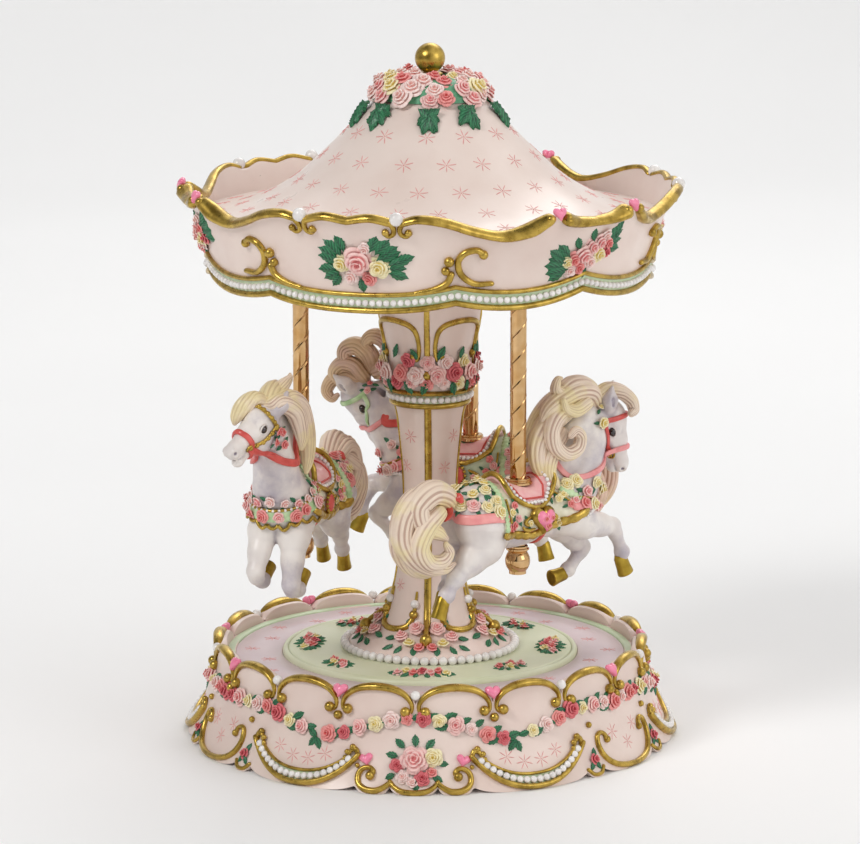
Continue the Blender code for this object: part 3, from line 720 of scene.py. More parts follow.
def make_skirt():
    shape = Shape()
    ring_loft(shape, skirt_section, 720)
    shape.finish("skirt", "base", PINK, "painted_resin", ["base_casting"], flat_angle=40.0)

    shape = Shape()
    inner = 62.0
    ring_loft(shape, turned_ring(
        [(76.0, 28.0), (80.6, 30.0), (81.0, DECK_Z - 0.3), (80.7, DECK_Z), (inner, DECK_Z),
         (inner - 0.4, DECK_Z - 0.4), (inner - 0.4, 28.0)]), 256)
    shape.finish("deck_ring", "base", MAUVE, "deck_resin", flat_angle=60.0)

    shape = Shape()
    ring_loft(shape, turned_ring(
        [(80.7, 31.0), (84.4, 31.0), (84.6, LEDGE_Z - 0.3), (84.4, LEDGE_Z + 0.05), (81.5, LEDGE_Z + 0.05),
         (81.1, 34.6)]), 256)
    shape.finish("ledge_band", "base", MINT, "medallion_resin", flat_angle=60.0)

    shape = Shape()
    top = MEDALLION_TOP
    ring_loft(shape, turned_ring(
        [(61.3, 31.5), (61.5, top - 1.4), (61.0, top - 0.4), (60.4, top - 0.1), (59.6, top - 0.15),
         (59.1, top - 0.75),
         (58.6, top - 0.15), (57.9, top), (24.0, top), (23.0, 31.5)]), 256)
    shape.finish("medallion", "base", GREEN, "medallion_resin", ["deck_medallion"], flat_angle=60.0)


def make_skirt_scrolls(gold, pearls, hearts):
    for number in range(ARCHES):
        start = ARCH * number
        half = [(2.5, 31.2, 1.5), (1.5, 30.6, 1.1), (0.9, 32.0, 1.0), (1.1, 34.4, 1.2), (2.2, 36.8, 1.45),
                (4.0, 38.8, 1.65), (6.6, 40.1, 1.85), (10.0, 40.6, 1.95)]
        path = [(start + a, z, r) for a, z, r in half]
        path += mirrored(path[:-1], start + ARCH / 2)[::-1]
        surface_tube(gold, SKIRT, [p[:2] for p in path], [p[2] for p in path], lift=-0.2, wide=0.85,
                     tall=1.25)
        for side in (-1, 1):
            surface_ball(gold, SKIRT, start + side * 2.5, 31.0, 2.15)
        if number % 2:
            surface_ball(gold, SKIRT, start, 28.2, 1.9)
            centre, normal = SKIRT.at(start, 38.0, 0.6)
            tilted = unit(normal + np.array([0, 0, 0.7]))
            put(hearts, HEART_SHAPE, centre, tilted, UP, 3.3)
        else:
            surface_ball(pearls, SKIRT, start, 37.6, 2.0, lift=0.3, detail=20)


CRESCENT_AT = 28.7
CRESCENT_HALF = 14.2


def crescent(gold, pearls, bed, centre):
    """A hanging crescent: two gold lines with beaded tips and a row of pearls on a green bed."""
    share = np.linspace(-1.0, 1.0, 41)

    def line(drop, half, top):
        return centre + half * share, drop + (top - drop) * np.abs(share) ** 2.3

    low_angle, low_z = line(0.9, CRESCENT_HALF + 0.9, 13.6)
    high_angle, high_z = line(5.6, CRESCENT_HALF - 1.9, 12.4)
    for angles, heights, radius in ((low_angle, low_z, 1.2), (high_angle, high_z, 0.7)):
        points, normal = SKIRT.at(angles, heights, 0.9)
        tube(gold, points, radius, normal, tall=1.5, sides=10)
    across = np.linspace(0.0, 1.0, 5)[None, :]
    angles = low_angle[:, None] * (1 - across) + high_angle[:, None] * across
    heights = low_z[:, None] * (1 - across) + high_z[:, None] * across
    top, _ = SKIRT.at(angles, heights, 0.75)
    foot, _ = SKIRT.at(angles, heights, -1.0)
    faces = [face[::-1] for face in shell_faces(*angles.shape)]
    bed.add(np.concatenate([top.reshape(-1, 3), foot.reshape(-1, 3)]), faces)
    middle = np.column_stack([(low_angle + high_angle) / 2, (low_z + high_z) / 2])
    track, _ = SKIRT.at(middle[:, 0], middle[:, 1], 1.5)
    length = np.concatenate([[0.0], np.cumsum(np.linalg.norm(np.diff(track, axis=0), axis=1))])
    count = 18
    for step in np.linspace(length[-1] * 0.035, length[-1] * 0.965, count):
        point = np.array([np.interp(step, length, track[:, k]) for k in range(3)])
        ball(pearls, point, 1.48, 16)
    for side in (-1, 1):
        tip = centre + side * (CRESCENT_HALF - 0.4)
        surface_tube(gold, SKIRT, [(tip + side * 1.2, 13.6), (tip + side * 0.6, 15.7),
                                   (tip - side * 0.6, 15.2),
                                   (tip - side * 1.3, 13.0)], [0.95, 1.05, 0.95, 0.6], lift=0.9)
        for da, dz, r in ((-0.2, 16.4, 1.35), (-1.5, 14.4, 1.2), (-1.9, 12.4, 0.95)):
            surface_ball(gold, SKIRT, tip + side * da, dz, r, lift=1.2)


def make_skirt_foot(gold, pearls, bed, hearts, stars, flowers):
    for panel in range(3):
        middle = PANEL * panel
        for side in (-1, 1):
            crescent(gold, pearls, bed, middle + side * CRESCENT_AT)

            def at(angle, z, r=0.95):
                return (middle + side * angle, z, r)

            scroll = [at(10.1, 6.4, 1.1), at(9.6, 8.0, 1.1), at(10.6, 9.4, 1.1), at(12.2, 8.8, 1.15),
                      at(13.1, 6.4, 1.2), at(12.8, 3.4, 1.25),
                      at(11.2, 1.5, 1.35), at(8.8, 1.1, 1.35), at(6.9, 2.4, 1.2), at(5.5, 4.2, 1.1)]
            surface_tube(gold, SKIRT, [s[:2] for s in scroll], [s[2] for s in scroll], lift=0.5, tall=1.2)
            surface_ball(gold, SKIRT, middle + side * 10.2, 6.4, 1.9)
            surface_ball(gold, SKIRT, middle + side * 13.6, 9.8, 1.0)
            centre, normal = SKIRT.at(middle + side * 11.6, 12.2, 0.5)
            put(hearts, HEART_SHAPE, centre, normal, (0.25 * side, 0, 1.0), 2.9)

            # small rose between the crescent and the star lobe, over its own short edge
            spot = 46.4
            surface_tube(gold, SKIRT, [(middle + side * 43.9, 3.2), (middle + side * 45.2, 1.2),
                                       (middle + side * 47.4, 1.2), (middle + side * 48.8, 3.2)], 0.8,
                         lift=0.3)
            centre, normal = SKIRT.at(middle + side * spot, 6.4, 0.5)
            flowers.rose("deep", centre, normal, 2.4)
            for turn, reach in ((150.0, 2.6), (215.0, 2.6), (20.0, 2.8)):
                toward = heading(normal, turn)
                flowers.leaf(centre + toward * 0.8, normal, toward, reach + 1.4)
            surface_ball(gold, SKIRT, middle + side * 47.3, 19.6, 1.3)

        lobe = [(-5.5, 4.6, 0.95), (-4.4, 2.7, 1.05), (-2.6, 1.2, 1.2), (0.0, 0.75, 1.25), (2.6, 1.2, 1.2),
                (4.4, 2.7, 1.05), (5.5, 4.6, 0.95)]
        surface_tube(gold, SKIRT, [(middle + a, z) for a, z, _ in lobe], [r for *_, r in lobe], lift=0.5,
                     tall=1.2)

        far = middle + 60.0
        for side in (-1, 1):
            scroll = [(7.6, 12.6, 1.0), (8.0, 14.6, 0.9), (9.4, 15.6, 0.95), (10.7, 14.2, 1.0),
                      (10.9, 10.4, 1.1), (9.6, 6.0, 1.15), (7.0, 2.8, 1.2), (3.6, 1.3, 1.25),
                      (0.0, 0.8, 1.25)]
            surface_tube(gold, SKIRT, [(far + side * a, z) for a, z, _ in scroll], [r for *_, r in scroll],
                         lift=0.5, tall=1.2)
            surface_ball(gold, SKIRT, far + side * 7.5, 12.4, 1.5)
        for offset, z in ((-4.4, 14.6), (0.6, 9.0), (5.0, 15.0)):
            star(stars, SKIRT, far + offset, z, 3.4)
        for side in (-1, 1):
            for offset, z in ((-6.3, 12.8), (-1.9, 10.4), (2.6, 10.6), (7.0, 13.2)):
                star(stars, SKIRT, middle + side * (CRESCENT_AT + offset), z, 3.3)


def rose_spray(flowers, surface, centre, along, roses, leaves, scale=1.0):
    """Roses and leaves given as offsets in millimetres, right and up, from a point on a surface."""
    point, _ = surface.at(centre, along, 0.0)
    radius = float(np.hypot(point[0], point[1]))
    for colour, right, up, size in roses:
        angle = centre + math.degrees(right * scale / radius)
        spot, out = surface.at(angle, along + up * scale, 0.5)
        flowers.rose(colour, spot, out, size * scale)
    for right, up, turn, length in leaves:
        angle = centre + math.degrees(right * scale / radius)
        spot, out = surface.at(angle, along + up * scale, 0.2)
        flowers.leaf(spot, out, heading(out, turn), length * scale)


BASE_BOUQUET = (
    [("pink", 0.0, 0.0, 5.9), ("cream", 7.4, 1.0, 4.0), ("deep", -6.9, -2.0, 2.9),
     ("blush", -4.4, -6.2, 2.9), ("deep", 3.2, -6.6, 3.2), ("blush", -0.6, -8.0, 2.4),
     ("coral", 6.8, -4.4, 2.3)],
    [(-4.0, 4.5, -45, 5.6), (0.5, 5.0, -5, 5.6), (4.5, 4.2, 40, 5.8), (-6.5, 1.5, -80, 5.4),
     (-7.4, -5.0, -120, 4.9), (0.8, -7.0, 180, 5.4), (7.0, -5.6, 120, 5.2), (9.0, -1.0, 95, 4.9)],
)


def make_garland(flowers):
    """The swag of roses round the skirt: high over each bouquet and lobe, low by the crescents."""
    pattern = ["deep", "pink", "cream", "blush", "coral", "deep", "cream", "pink", "blush", "coral"]
    for panel in range(3):
        middle = PANEL * panel
        spots = np.arange(-58.0, 58.1, 4.0)
        for number, offset in enumerate(spots):
            away = abs(offset)
            if 23.5 < away < 27.0:
                continue
            height = float(np.interp(away, [0.0, 8.0, 16.0, 23.0, 32.0, 42.0, 60.0],
                                     [28.4, 27.4, 22.8, 19.6, 22.6, 27.0, 26.2]))
            size = (3.1, 3.8, 2.7, 3.4)[number % 4] + RNG.uniform(-0.2, 0.25)
            centre, normal = SKIRT.at(middle + offset, height + RNG.uniform(-0.5, 0.5), 0.7)
            flowers.rose(pattern[(number + 3 * panel) % len(pattern)], centre, normal, size)
            for side in ((-1, 1) if number % 3 else (1,)):
                turn = math.radians(90 - side * RNG.uniform(55.0, 90.0))
                axes = basis(normal, UP)
                toward = axes[0] * math.cos(turn) + side * axes[1] * math.sin(turn)
                if RNG.uniform() < 0.85:
                    flowers.leaf(centre - normal * 0.4 + toward * size * 0.55, normal, toward,
                                 RNG.uniform(4.6, 6.4))
        for side in (-1, 1):
            centre, normal = SKIRT.at(middle + side * 25.2, 18.8, 0.4)
            for turn in (-140.0, 160.0, -60.0):
                flowers.leaf(centre, normal, heading(normal, turn), 5.4)
        rose_spray(flowers, SKIRT, middle, 12.6, *BASE_BOUQUET)


# DECK and ROOF_SURFACE measure along inwards from this radius
OUTSIDE = 100.0
DECK = Surface(lambda angle, along: polar(OUTSIDE - np.asarray(along), angle,
                                          np.where(np.asarray(along) > 39.0, MEDALLION_TOP, DECK_Z)))


def make_deck(stars, flowers, pearls):
    for number in range(24):
        star(stars, DECK, 15.0 * number + 3.0, OUTSIDE - (69.0 if number % 2 else 74.5), 3.3)
    for number in range(8):
        angle = 45.0 * number
        big = number % 2 == 0
        centre, normal = DECK.at(angle, OUTSIDE - 50.0, 0.3)
        axes = basis(normal, polar(1.0, angle))
        colours = ["pink", "coral", "cream", "coral"]
        if big:
            colours = ["cream", "coral", "pink", "deep", "coral", "cream", "pink"]
        reach = (len(colours) - 1) / 2
        for k, colour in enumerate(colours):
            inward = (-1) ** k * 1.3 + RNG.uniform(-0.7, 0.7)
            spot = centre + axes[0] * (k - reach) * 3.3 + axes[1] * inward
            flowers.rose(colour, spot, normal + axes[1] * 0.3, (2.7 if big else 2.4) - 0.12 * abs(k - reach))
        for k in range(16 if big else 10):
            turn = 2.0 * math.pi * (k + 0.5) / (16 if big else 10)
            start = centre + axes[0] * math.cos(turn) * (reach * 3.3 - 0.5) + axes[1] * math.sin(turn) * 2.2
            toward = axes[0] * math.cos(turn) * 1.3 + axes[1] * math.sin(turn)
            flowers.leaf(start, normal, unit(toward),
                         RNG.uniform(4.0, 5.0) if big else RNG.uniform(3.4, 4.2))
    count = 58
    for number in range(count):
        ball(pearls, polar(35.6, 360.0 * number / count, MEDALLION_TOP + 1.55), 1.9, 16)


# ---------------------------------------------------------------- column
# the column's radius at each height
SHAFT = [
    (38.6, 34.2), (39.6, 32.5), (41.0, 29.5), (43.2, 25.8), (46.0, 22.2), (49.0, 19.6), (55.5, 16.6),
    (65.0, 14.3), (77.0, 12.5), (90.0, 11.1), (101.0, 10.7), (112.0, 11.1), (125.0, 12.3), (136.0, 13.6),
    (147.0, 16.9), (152.0, 17.2), (160.0, 17.6), (168.0, 18.9), (176.0, 20.8), (188.0, 21.4),
    (203.0, 21.0),
]
COLLAR_FOOT, COLLAR_TOP, COLUMN_TOP = 139.3, 147.2, 203.5
SHAFT_Z = np.array([z for z, _ in SHAFT])
SHAFT_R = np.array([r for _, r in SHAFT])


def column_radius(z):
    return np.interp(z, SHAFT_Z, SHAFT_R)


COLUMN = Surface(lambda angle, z: polar(column_radius(np.asarray(z)), angle, z))


def column_section(low, high, rows, bore=6.3):
    z = np.linspace(low, high, rows)
    knots = smooth_path(np.array(SHAFT), 6)
    radius = np.interp(z, knots[:, 0], knots[:, 1])
    return turned_ring(list(zip(radius, z)) + [(bore, high), (bore, low)])


def make_column_bodies(pearls):
    """Shaft, capital, and the collar of two gold rings with pearls between them on a green band."""
    shape = Shape()
    ring_loft(shape, column_section(MEDALLION_TOP + 0.2, 139.2, 80), 144)
    shape.finish("shaft", "base", PINK, "painted_resin", ["column_shaft"], flat_angle=60.0)
    shape = Shape()
    ring_loft(shape, column_section(COLLAR_TOP, COLUMN_TOP, 40), 144)
    shape.finish("capital", "base", PINK, "painted_resin", ["column_capital"], flat_angle=60.0)
    shape = Shape()
    profile = [(6.3, COLLAR_FOOT), (14.5, COLLAR_FOOT), (16.2, 139.5), (17.0, 140.3), (16.9, 141.2),
               (16.0, 141.8), (15.6, 142.0), (15.8, 144.8), (17.2, 145.1), (18.5, 145.7), (18.8, 146.5),
               (18.2, 147.1), (16.0, COLLAR_TOP), (6.3, COLLAR_TOP)]
    ring_loft(shape, turned_ring(profile), 160)
    shape.finish("collar_rings", "base", GOLD, "gold_paint", ["column_collar"], flat_angle=60.0)
    shape = Shape()
    ring_loft(shape, turned_ring([(15.2, 141.4), (16.0, 141.5), (16.3, 145.0), (15.2, 145.0)]), 128)
    shape.finish("collar_band", "base", MINT, "medallion_resin", flat_angle=60.0)
    count = 38
    for number in range(count):
        ball(pearls, polar(16.9, 360.0 * number / count, 143.4), 1.38, 16)


def make_column_panels(gold, pearls, stars, flowers):
    """Four gold strips up the column, and between them a framed panel below and an arch above."""
    for quarter in range(4):
        strip = 90.0 * quarter
        track = np.array([(strip, z) for z in np.linspace(45.0, 139.5, 60)])
        points, normal = COLUMN.at(track[:, 0], track[:, 1], 0.25)
        tube(gold, points - 0.3 * normal, 1.5, normal, wide=1.0, tall=0.5, sides=12)
        stem = smooth_path([polar(20.0, strip, 51.0), polar(23.4, strip, 48.6), polar(26.2, strip, 46.2)], 4)
        tube(gold, stem, 1.0, polar(0.3, strip, 1.0), sides=12)
        ball(gold, polar(26.9, strip, 44.6), 2.6, 20, (1, 1, 1.15))
        track = np.array([(strip, z) for z in np.linspace(155.0, 188.0, 24)])
        points, normal = COLUMN.at(track[:, 0], track[:, 1], 0.25)
        tube(gold, points - 0.3 * normal, 1.25, normal, tall=0.6, sides=12)
        surface_ball(gold, COLUMN, strip, 154.0, 2.1)

        # U-shaped gold line round the panel's foot and the pearl and gold ball by each strip
        panel = strip + 45.0
        line = [(-28.0, 62.0, 0.5), (-27.0, 56.0, 0.8), (-25.5, 51.5, 1.15), (-20.0, 48.4, 1.3),
                (-10.0, 47.2, 1.35), (0.0, 46.9, 1.35)]
        line += mirrored(line[:-1], 0.0)[::-1]
        surface_tube(gold, COLUMN, [(panel + a, z) for a, z, _ in line], [r for *_, r in line], lift=0.2)
        for side in (-1, 1):
            surface_ball(gold, COLUMN, strip + side * 18.0, 53.0, 1.9)
            surface_ball(pearls, COLUMN, strip + side * 18.0, 57.3, 1.8, detail=18)

        # arch on the capital between two strips, ending in volutes
        arch = [(-27.0, 161.5, 1.0), (-31.0, 160.2, 0.9), (-34.0, 162.4, 0.9), (-34.5, 167.0, 0.95),
                (-31.5, 172.2, 1.1), (-24.0, 175.0, 1.2), (-12.0, 176.2, 1.25), (0.0, 176.5, 1.25)]
        arch += mirrored(arch[:-1], 0.0)[::-1]
        surface_tube(gold, COLUMN, [(panel + a, z) for a, z, _ in arch], [r for *_, r in arch], lift=0.3)
        for side in (-1, 1):
            surface_ball(gold, COLUMN, panel + side * 27.0, 161.8, 1.5)

        # stars up the panel
        for k, z in enumerate((64.0, 76.0, 88.0, 101.0, 114.0, 127.0)):
            star(stars, COLUMN, panel + (9.0 if k % 2 else -9.0), z, 2.9)

        # rose cluster at the strip's foot
        for side in (-1, 1):
            for colour, away, z, size in (("pink", 11.5, 47.8, 3.3), ("cream", 15.0, 42.6, 2.5),
                                          ("pink", 25.0, 44.6, 3.0), ("coral", 5.5, 41.4, 2.3)):
                centre, normal = COLUMN.at(strip + side * away, z, 0.9)
                flowers.rose(colour, centre, normal + np.array([0, 0, 0.35]), size)
            for away, z, turn in ((20.0, 41.6, 150.0), (31.0, 44.0, 95.0), (10.0, 41.5, 190.0),
                                  (28.0, 41.6, 120.0), (21.0, 48.0, 20.0)):
                centre, normal = COLUMN.at(strip + side * away, z, 0.5)
                flowers.leaf(centre, normal, heading(normal, side * turn), 4.8)


def make_column_wreath(flowers):
    """The ring of roses above the collar, with leaves under and over it."""
    colours = ["coral", "pink", "blush", "deep", "cream", "pink", "coral", "blush", "deep"]
    for row, (z, count, size) in enumerate(((150.4, 17, 3.2), (154.8, 15, 3.8), (159.8, 14, 3.2))):
        for number in range(count):
            angle = 360.0 * (number + 0.5 * row) / count + RNG.uniform(-2.0, 2.0)
            if row == 2 and number % 3 == 2:
                continue
            centre, normal = COLUMN.at(angle, z + RNG.uniform(-0.9, 0.9), (0.9, 1.7, 1.0)[row])
            flowers.rose(colours[(number * 2 + row) % 9], centre, normal, size + RNG.uniform(-0.3, 0.3))
    for number in range(26):
        angle = 360.0 * number / 26 + RNG.uniform(-4.0, 4.0)
        low = number % 2 == 0
        centre, normal = COLUMN.at(angle, 151.6 if low else 161.0, 2.2 if low else 1.2)
        axes = basis(normal, UP)
        toward = axes[1] * (-1.0 if low else 1.0) + axes[0] * RNG.uniform(-0.8, 0.8)
        flowers.leaf(centre, normal, unit(toward), RNG.uniform(4.6, 6.2))


def make_base():
    gold, pearls, bed, hearts, stars = Shape(), Shape(), Shape(), Shape(), Shape()
    flowers = Flowers()
    make_skirt()
    make_skirt_scrolls(gold, pearls, hearts)
    make_skirt_foot(gold, pearls, bed, hearts, stars, flowers)
    make_garland(flowers)
    make_deck(stars, flowers, pearls)
    make_column_bodies(pearls)
    make_column_panels(gold, pearls, stars, flowers)
    make_column_wreath(flowers)
    gold.finish("base_gold", "base", GOLD, "gold_paint", flat_angle=70.0)
    pearls.finish("base_pearls", "base", PEARL, "pearl")
    bed.finish("crescent_beds", "base", MINT, "medallion_resin", flat_angle=60.0)
    hearts.finish("base_hearts", "base", HEART, "pink_enamel", flat_angle=80.0)
    stars.finish("base_stars", "base", STAR, "pink_enamel", flat_angle=30.0)
    flowers.finish("base", "base")


# ---------------------------------------------------------------- canopy
def panel_away(angle):
    """Angle from the middle of the nearest big-bouquet panel, 0 to 60."""
    return fold(np.asarray(angle, float) - CANOPY_TURN - 60.0)


CROSSING = 25.0  # where two lobes of the valance's foot meet
VALANCE_FOOT = 195.6
RIM_STOPS = np.array([(0.0, 229.2), (5.5, 230.6), (11.3, 228.6), (16.0, 230.4), (22.0, 229.0), (29.0, 225.0),
                      (36.0, 222.6), (42.0, 224.6), (46.0, 228.4), (48.5, 229.6), (54.0, 226.8),
                      (60.0, 226.0)])
RIM_CURVE = smooth_path(RIM_STOPS, 8)


def valance_foot(angle):
    away = panel_away(angle)
    share = np.clip((away - CROSSING) / (60.0 - CROSSING), 0.0, 1.0)
    lobe = VALANCE_FOOT + 2.4 * share - 15.2 * share * (1.0 - share)
    return np.where(away < CROSSING, 192.0 + 3.6 * (away / CROSSING) ** 2.6, lobe)


def valance_top(angle):
    return np.interp(panel_away(angle), RIM_CURVE[:, 0], RIM_CURVE[:, 1])


def valance_radius(angle, z):
    rise = np.clip((z - 192.0) / 38.0, 0.0, 1.15)
    away = panel_away(angle)
    dip = 1.2 * np.exp(-(((away - 36.0) / 8.0) ** 2)) * rise**2
    return 90.0 + 3.0 * rise + 9.2 * rise**2.4 - dip


def valance_middle(panel):
    """The angle of a panel's middle, half-way between two poles."""
    return CANOPY_TURN + 60.0 + PANEL * panel


VALANCE = Surface(lambda angle, z: polar(valance_radius(np.asarray(angle), np.asarray(z)), angle, z))


def roof_height(radius):
    knots = np.array([(0.0, 272.4), (8.0, 272.2), (12.0, 271.2), (19.0, 268.0), (26.7, 261.4), (37.0, 250.7),
                      (46.0, 242.0), (56.0, 233.4), (68.0, 226.4), (80.0, 222.0), (94.0, 219.4),
                      (100.0, 218.8)])
    curve = smooth_path(knots, 6)
    return np.interp(radius, curve[:, 0], curve[:, 1])


ROOF_SURFACE = Surface(lambda angle, along: polar(OUTSIDE - np.asarray(along), angle,
                                                  roof_height(OUTSIDE - np.asarray(along))))


def make_canopy_shells():
    shape = Shape()

    def section(angles):
        foot = valance_foot(angles)[:, None]
        top = valance_top(angles)[:, None]
        share = np.linspace(0.0, 1.0, 26)[None, :]
        z = foot + (top - foot) * share
        outer = valance_radius(angles[:, None], z)
        crest = outer[:, -1:]
        radius = np.concatenate(
            [outer, crest - 0.6, crest - 2.6, crest - 3.4, np.full_like(foot, 94.8),
             np.full_like(foot, 93.4),
             np.full_like(foot, 90.0), np.full_like(foot, 86.8), np.full_like(foot, 86.0)], axis=1)
        height = np.concatenate(
            [z, top + 0.3, top + 0.2, top - 0.6, 220.5 + 0 * top, 217.5 + 0 * top, 209.0 + 0 * top,
             203.0 + 0 * top, foot],
            axis=1)
        return np.stack([radius, height], axis=-1)

    ring_loft(shape, section, 720)
    shape.finish("valance", "canopy", PINK, "painted_resin", ["valance_ring"], flat_angle=45.0)

    shape = Shape()
    outer_r = np.concatenate([np.linspace(94.6, 60.0, 16), np.linspace(58.0, 6.5, 30)])
    outer = np.column_stack([outer_r, roof_height(outer_r)])
    inner_r = np.linspace(6.5, 92.0, 24)
    inner = np.column_stack([inner_r, roof_height(inner_r + 1.5) - 3.0])
    ring_loft(shape, turned_ring(np.concatenate([outer, inner])), 256)
    shape.finish("roof", "canopy", ROOF, "painted_resin", ["roof_shell"], flat_angle=60.0)


BED_HEIGHT = 6.9


def make_pearl_bed(gold, pearls, bed):
    """The row of pearls round the valance's foot, between its two gold lines."""
    angles = np.arange(0.0, 360.0, 0.5)
    foot = valance_foot(angles)
    for rise, radius, lift in ((0.5, 1.25, 0.5), (BED_HEIGHT, 0.95, 0.55)):
        points, normal = VALANCE.at(angles, foot + rise, lift)
        tube(gold, points, radius, normal, tall=1.1, sides=12, closed=True)

    def section(a):
        low = valance_foot(a)[:, None]
        z = low + np.array([[1.0, 3.6, 6.4]])
        radius = valance_radius(a[:, None], z) + 0.45
        back = valance_radius(a[:, None], z[:, ::-1]) - 1.5
        return np.stack([np.concatenate([radius, back], axis=1), np.concatenate([z, z[:, ::-1]], axis=1)],
                        axis=-1)

    ring_loft(bed, section, 480)
    count = 204
    for number in range(count):
        angle = 360.0 * number / count
        point, _ = VALANCE.at(angle, float(valance_foot(angle)) + 3.75, 1.0)
        ball(pearls, point, 1.36, 12)


def make_valance_scrolls(gold):
    """Two gold scrolls, back to back, on each side of a panel's bouquet."""
    foot_z = VALANCE_FOOT + BED_HEIGHT
    for panel in range(3):
        middle = valance_middle(panel)
        for side in (-1, 1):
            def at(away, z, r):
                return (middle + side * away, z, r)

            volute = [at(33.0, foot_z + 1.2, 0.8), at(29.5, foot_z + 1.4, 0.95),
                      at(26.9, foot_z + 4.4, 1.05), at(26.2, foot_z + 8.6, 1.05),
                      at(27.4, foot_z + 11.6, 1.05), at(29.6, foot_z + 12.4, 1.0),
                      at(31.0, foot_z + 11.0, 1.1)]
            volute = [(middle + side * 29.6 + 1.25 * (a - middle - side * 29.6),
                       foot_z - 0.4 + 1.25 * (z - foot_z), 1.3 * r) for a, z, r in volute]
            surface_tube(gold, VALANCE, [v[:2] for v in volute], [v[2] for v in volute], lift=0.7, tall=1.1)
            surface_ball(gold, VALANCE, middle + side * 31.35, foot_z + 13.2, 1.9)
            inner = [at(15.0, foot_z - 2.4, 0.9), at(19.6, foot_z - 0.8, 1.2), at(22.8, foot_z + 1.8, 1.35),
                     at(23.8, foot_z + 5.2, 1.4)]
            surface_tube(gold, VALANCE, [v[:2] for v in inner], [v[2] for v in inner], lift=0.7, tall=1.1)
            surface_ball(gold, VALANCE, middle + side * 22.4, foot_z + 6.8, 1.8)
            surface_ball(gold, VALANCE, middle + side * 23.2, foot_z + 10.6, 2.1)


def make_rim_wave(gold, pearls, hearts):
    """The gold wave along the valance's top, with thick leaf ends at the hearts, and pearls in its gaps."""
    for panel in range(3):
        middle = valance_middle(panel)
        for side in (-1, 1):
            for stops, widths, steps, wide, tall in (
                ((12.6, 20.0, 34.0, 43.0, 46.2), (1.6, 1.95, 2.3, 3.2, 2.5), 40, 0.8, 1.25),
                ((0.0, 10.2), (1.75, 1.75), 16, 0.85, 1.2),
                ((51.0, 54.0, 60.0), (3.1, 2.5, 2.0), 16, 0.8, 1.25),
            ):
                away = np.linspace(stops[0], stops[-1], steps)
                top = valance_top(middle + side * away)
                points, normal = VALANCE.at(middle + side * away, top - 0.3, -0.7)
                tube(gold, points, np.interp(away, stops, widths), normal, wide=wide, tall=tall, sides=14)
            pearl = middle + side * 11.3
            for turn in (-1, 1):
                hook = [(pearl + turn * 1.3, 229.0), (pearl + turn * 0.7, 226.6),
                        (pearl + turn * 0.9, 224.4), (pearl + turn * 2.0, 223.6),
                        (pearl + turn * 2.9, 224.8)]
                surface_tube(gold, VALANCE, hook, [1.25, 1.1, 1.0, 1.0, 1.1], lift=0.3)
                surface_ball(gold, VALANCE, pearl + turn * 2.6, 225.3, 1.5)
            point, _ = VALANCE.at(pearl, 230.2, -0.6)
            ball(pearls, point, 2.75, 24)
            heart_at = middle + side * 48.6
            centre, normal = VALANCE.at(heart_at, 230.4, -0.6)
            put(hearts, HEART_SHAPE, centre, unit(normal + np.array([0, 0, 0.9])), UP, 3.0)
            for turn in (-1, 1):
                surface_ball(gold, VALANCE, heart_at + turn * 2.2, 229.0, 2.0, lift=0.2)


A_BOUQUET = (
    [("pink", 0.0, 0.4, 6.4), ("cream", -7.0, -0.8, 4.1), ("cream", 8.2, -2.0, 4.8),
     ("blush", -3.4, -6.4, 3.3), ("coral", 4.0, -6.8, 3.2), ("blush", 3.2, 5.6, 2.8)],
    [(-8.5, 2.0, -70, 8.8), (-9.5, -3.0, -100, 8.4), (-5.0, 4.5, -30, 8.1), (5.0, 4.4, 25, 8.6),
     (9.0, 2.8, 60, 8.4), (12.0, -0.5, 80, 8.9), (12.0, -4.0, 110, 8.1), (0.5, -6.8, 175, 6.8),
     (-8.0, -6.0, -140, 6.8), (14.5, 0.5, 75, 8.1), (-7.0, 0.5, -85, 10.0), (-6.5, 3.0, -52, 9.6),
     (7.5, 1.4, 72, 10.0), (9.5, -1.8, 96, 9.4), (7.0, 3.6, 44, 9.4), (-8.4, -4.4, -118, 8.4)],
)
B_BOUQUET = (
    [("cream", -10.5, -2.8, 3.0), ("coral", -7.4, -1.8, 3.5), ("blush", -8.4, -6.2, 3.1),
     ("pink", -3.2, -0.4, 4.4), ("coral", -4.2, -5.4, 3.4), ("pink", 1.0, 2.6, 3.8),
     ("blush", 1.0, -3.4, 3.6), ("pink", 4.6, 4.4, 3.6), ("cream", 5.0, -0.6, 4.0), ("coral", 8.8, 3.8, 3.4),
     ("deep", 9.2, -0.2, 3.1), ("blush", 7.0, 7.0, 2.9)],
    [(-12.0, -4.0, -90, 8.1), (-11.0, -6.5, -120, 7.8), (-12.5, -1.0, -60, 7.5), (-5.0, 2.0, -20, 6.2),
     (11.0, 4.0, 60, 7.8), (11.5, 1.0, 100, 7.5), (12.5, 6.0, 30, 8.0), (0.0, -6.0, 190, 5.8),
     (1.0, 5.0, 0, 6.0), (-9.5, -3.0, -78, 9.4), (-10.0, -5.2, -104, 9.2), (-9.5, -0.5, -48, 8.6),
     (9.5, 4.5, 44, 9.0), (10.0, 2.4, 80, 8.6)],
)


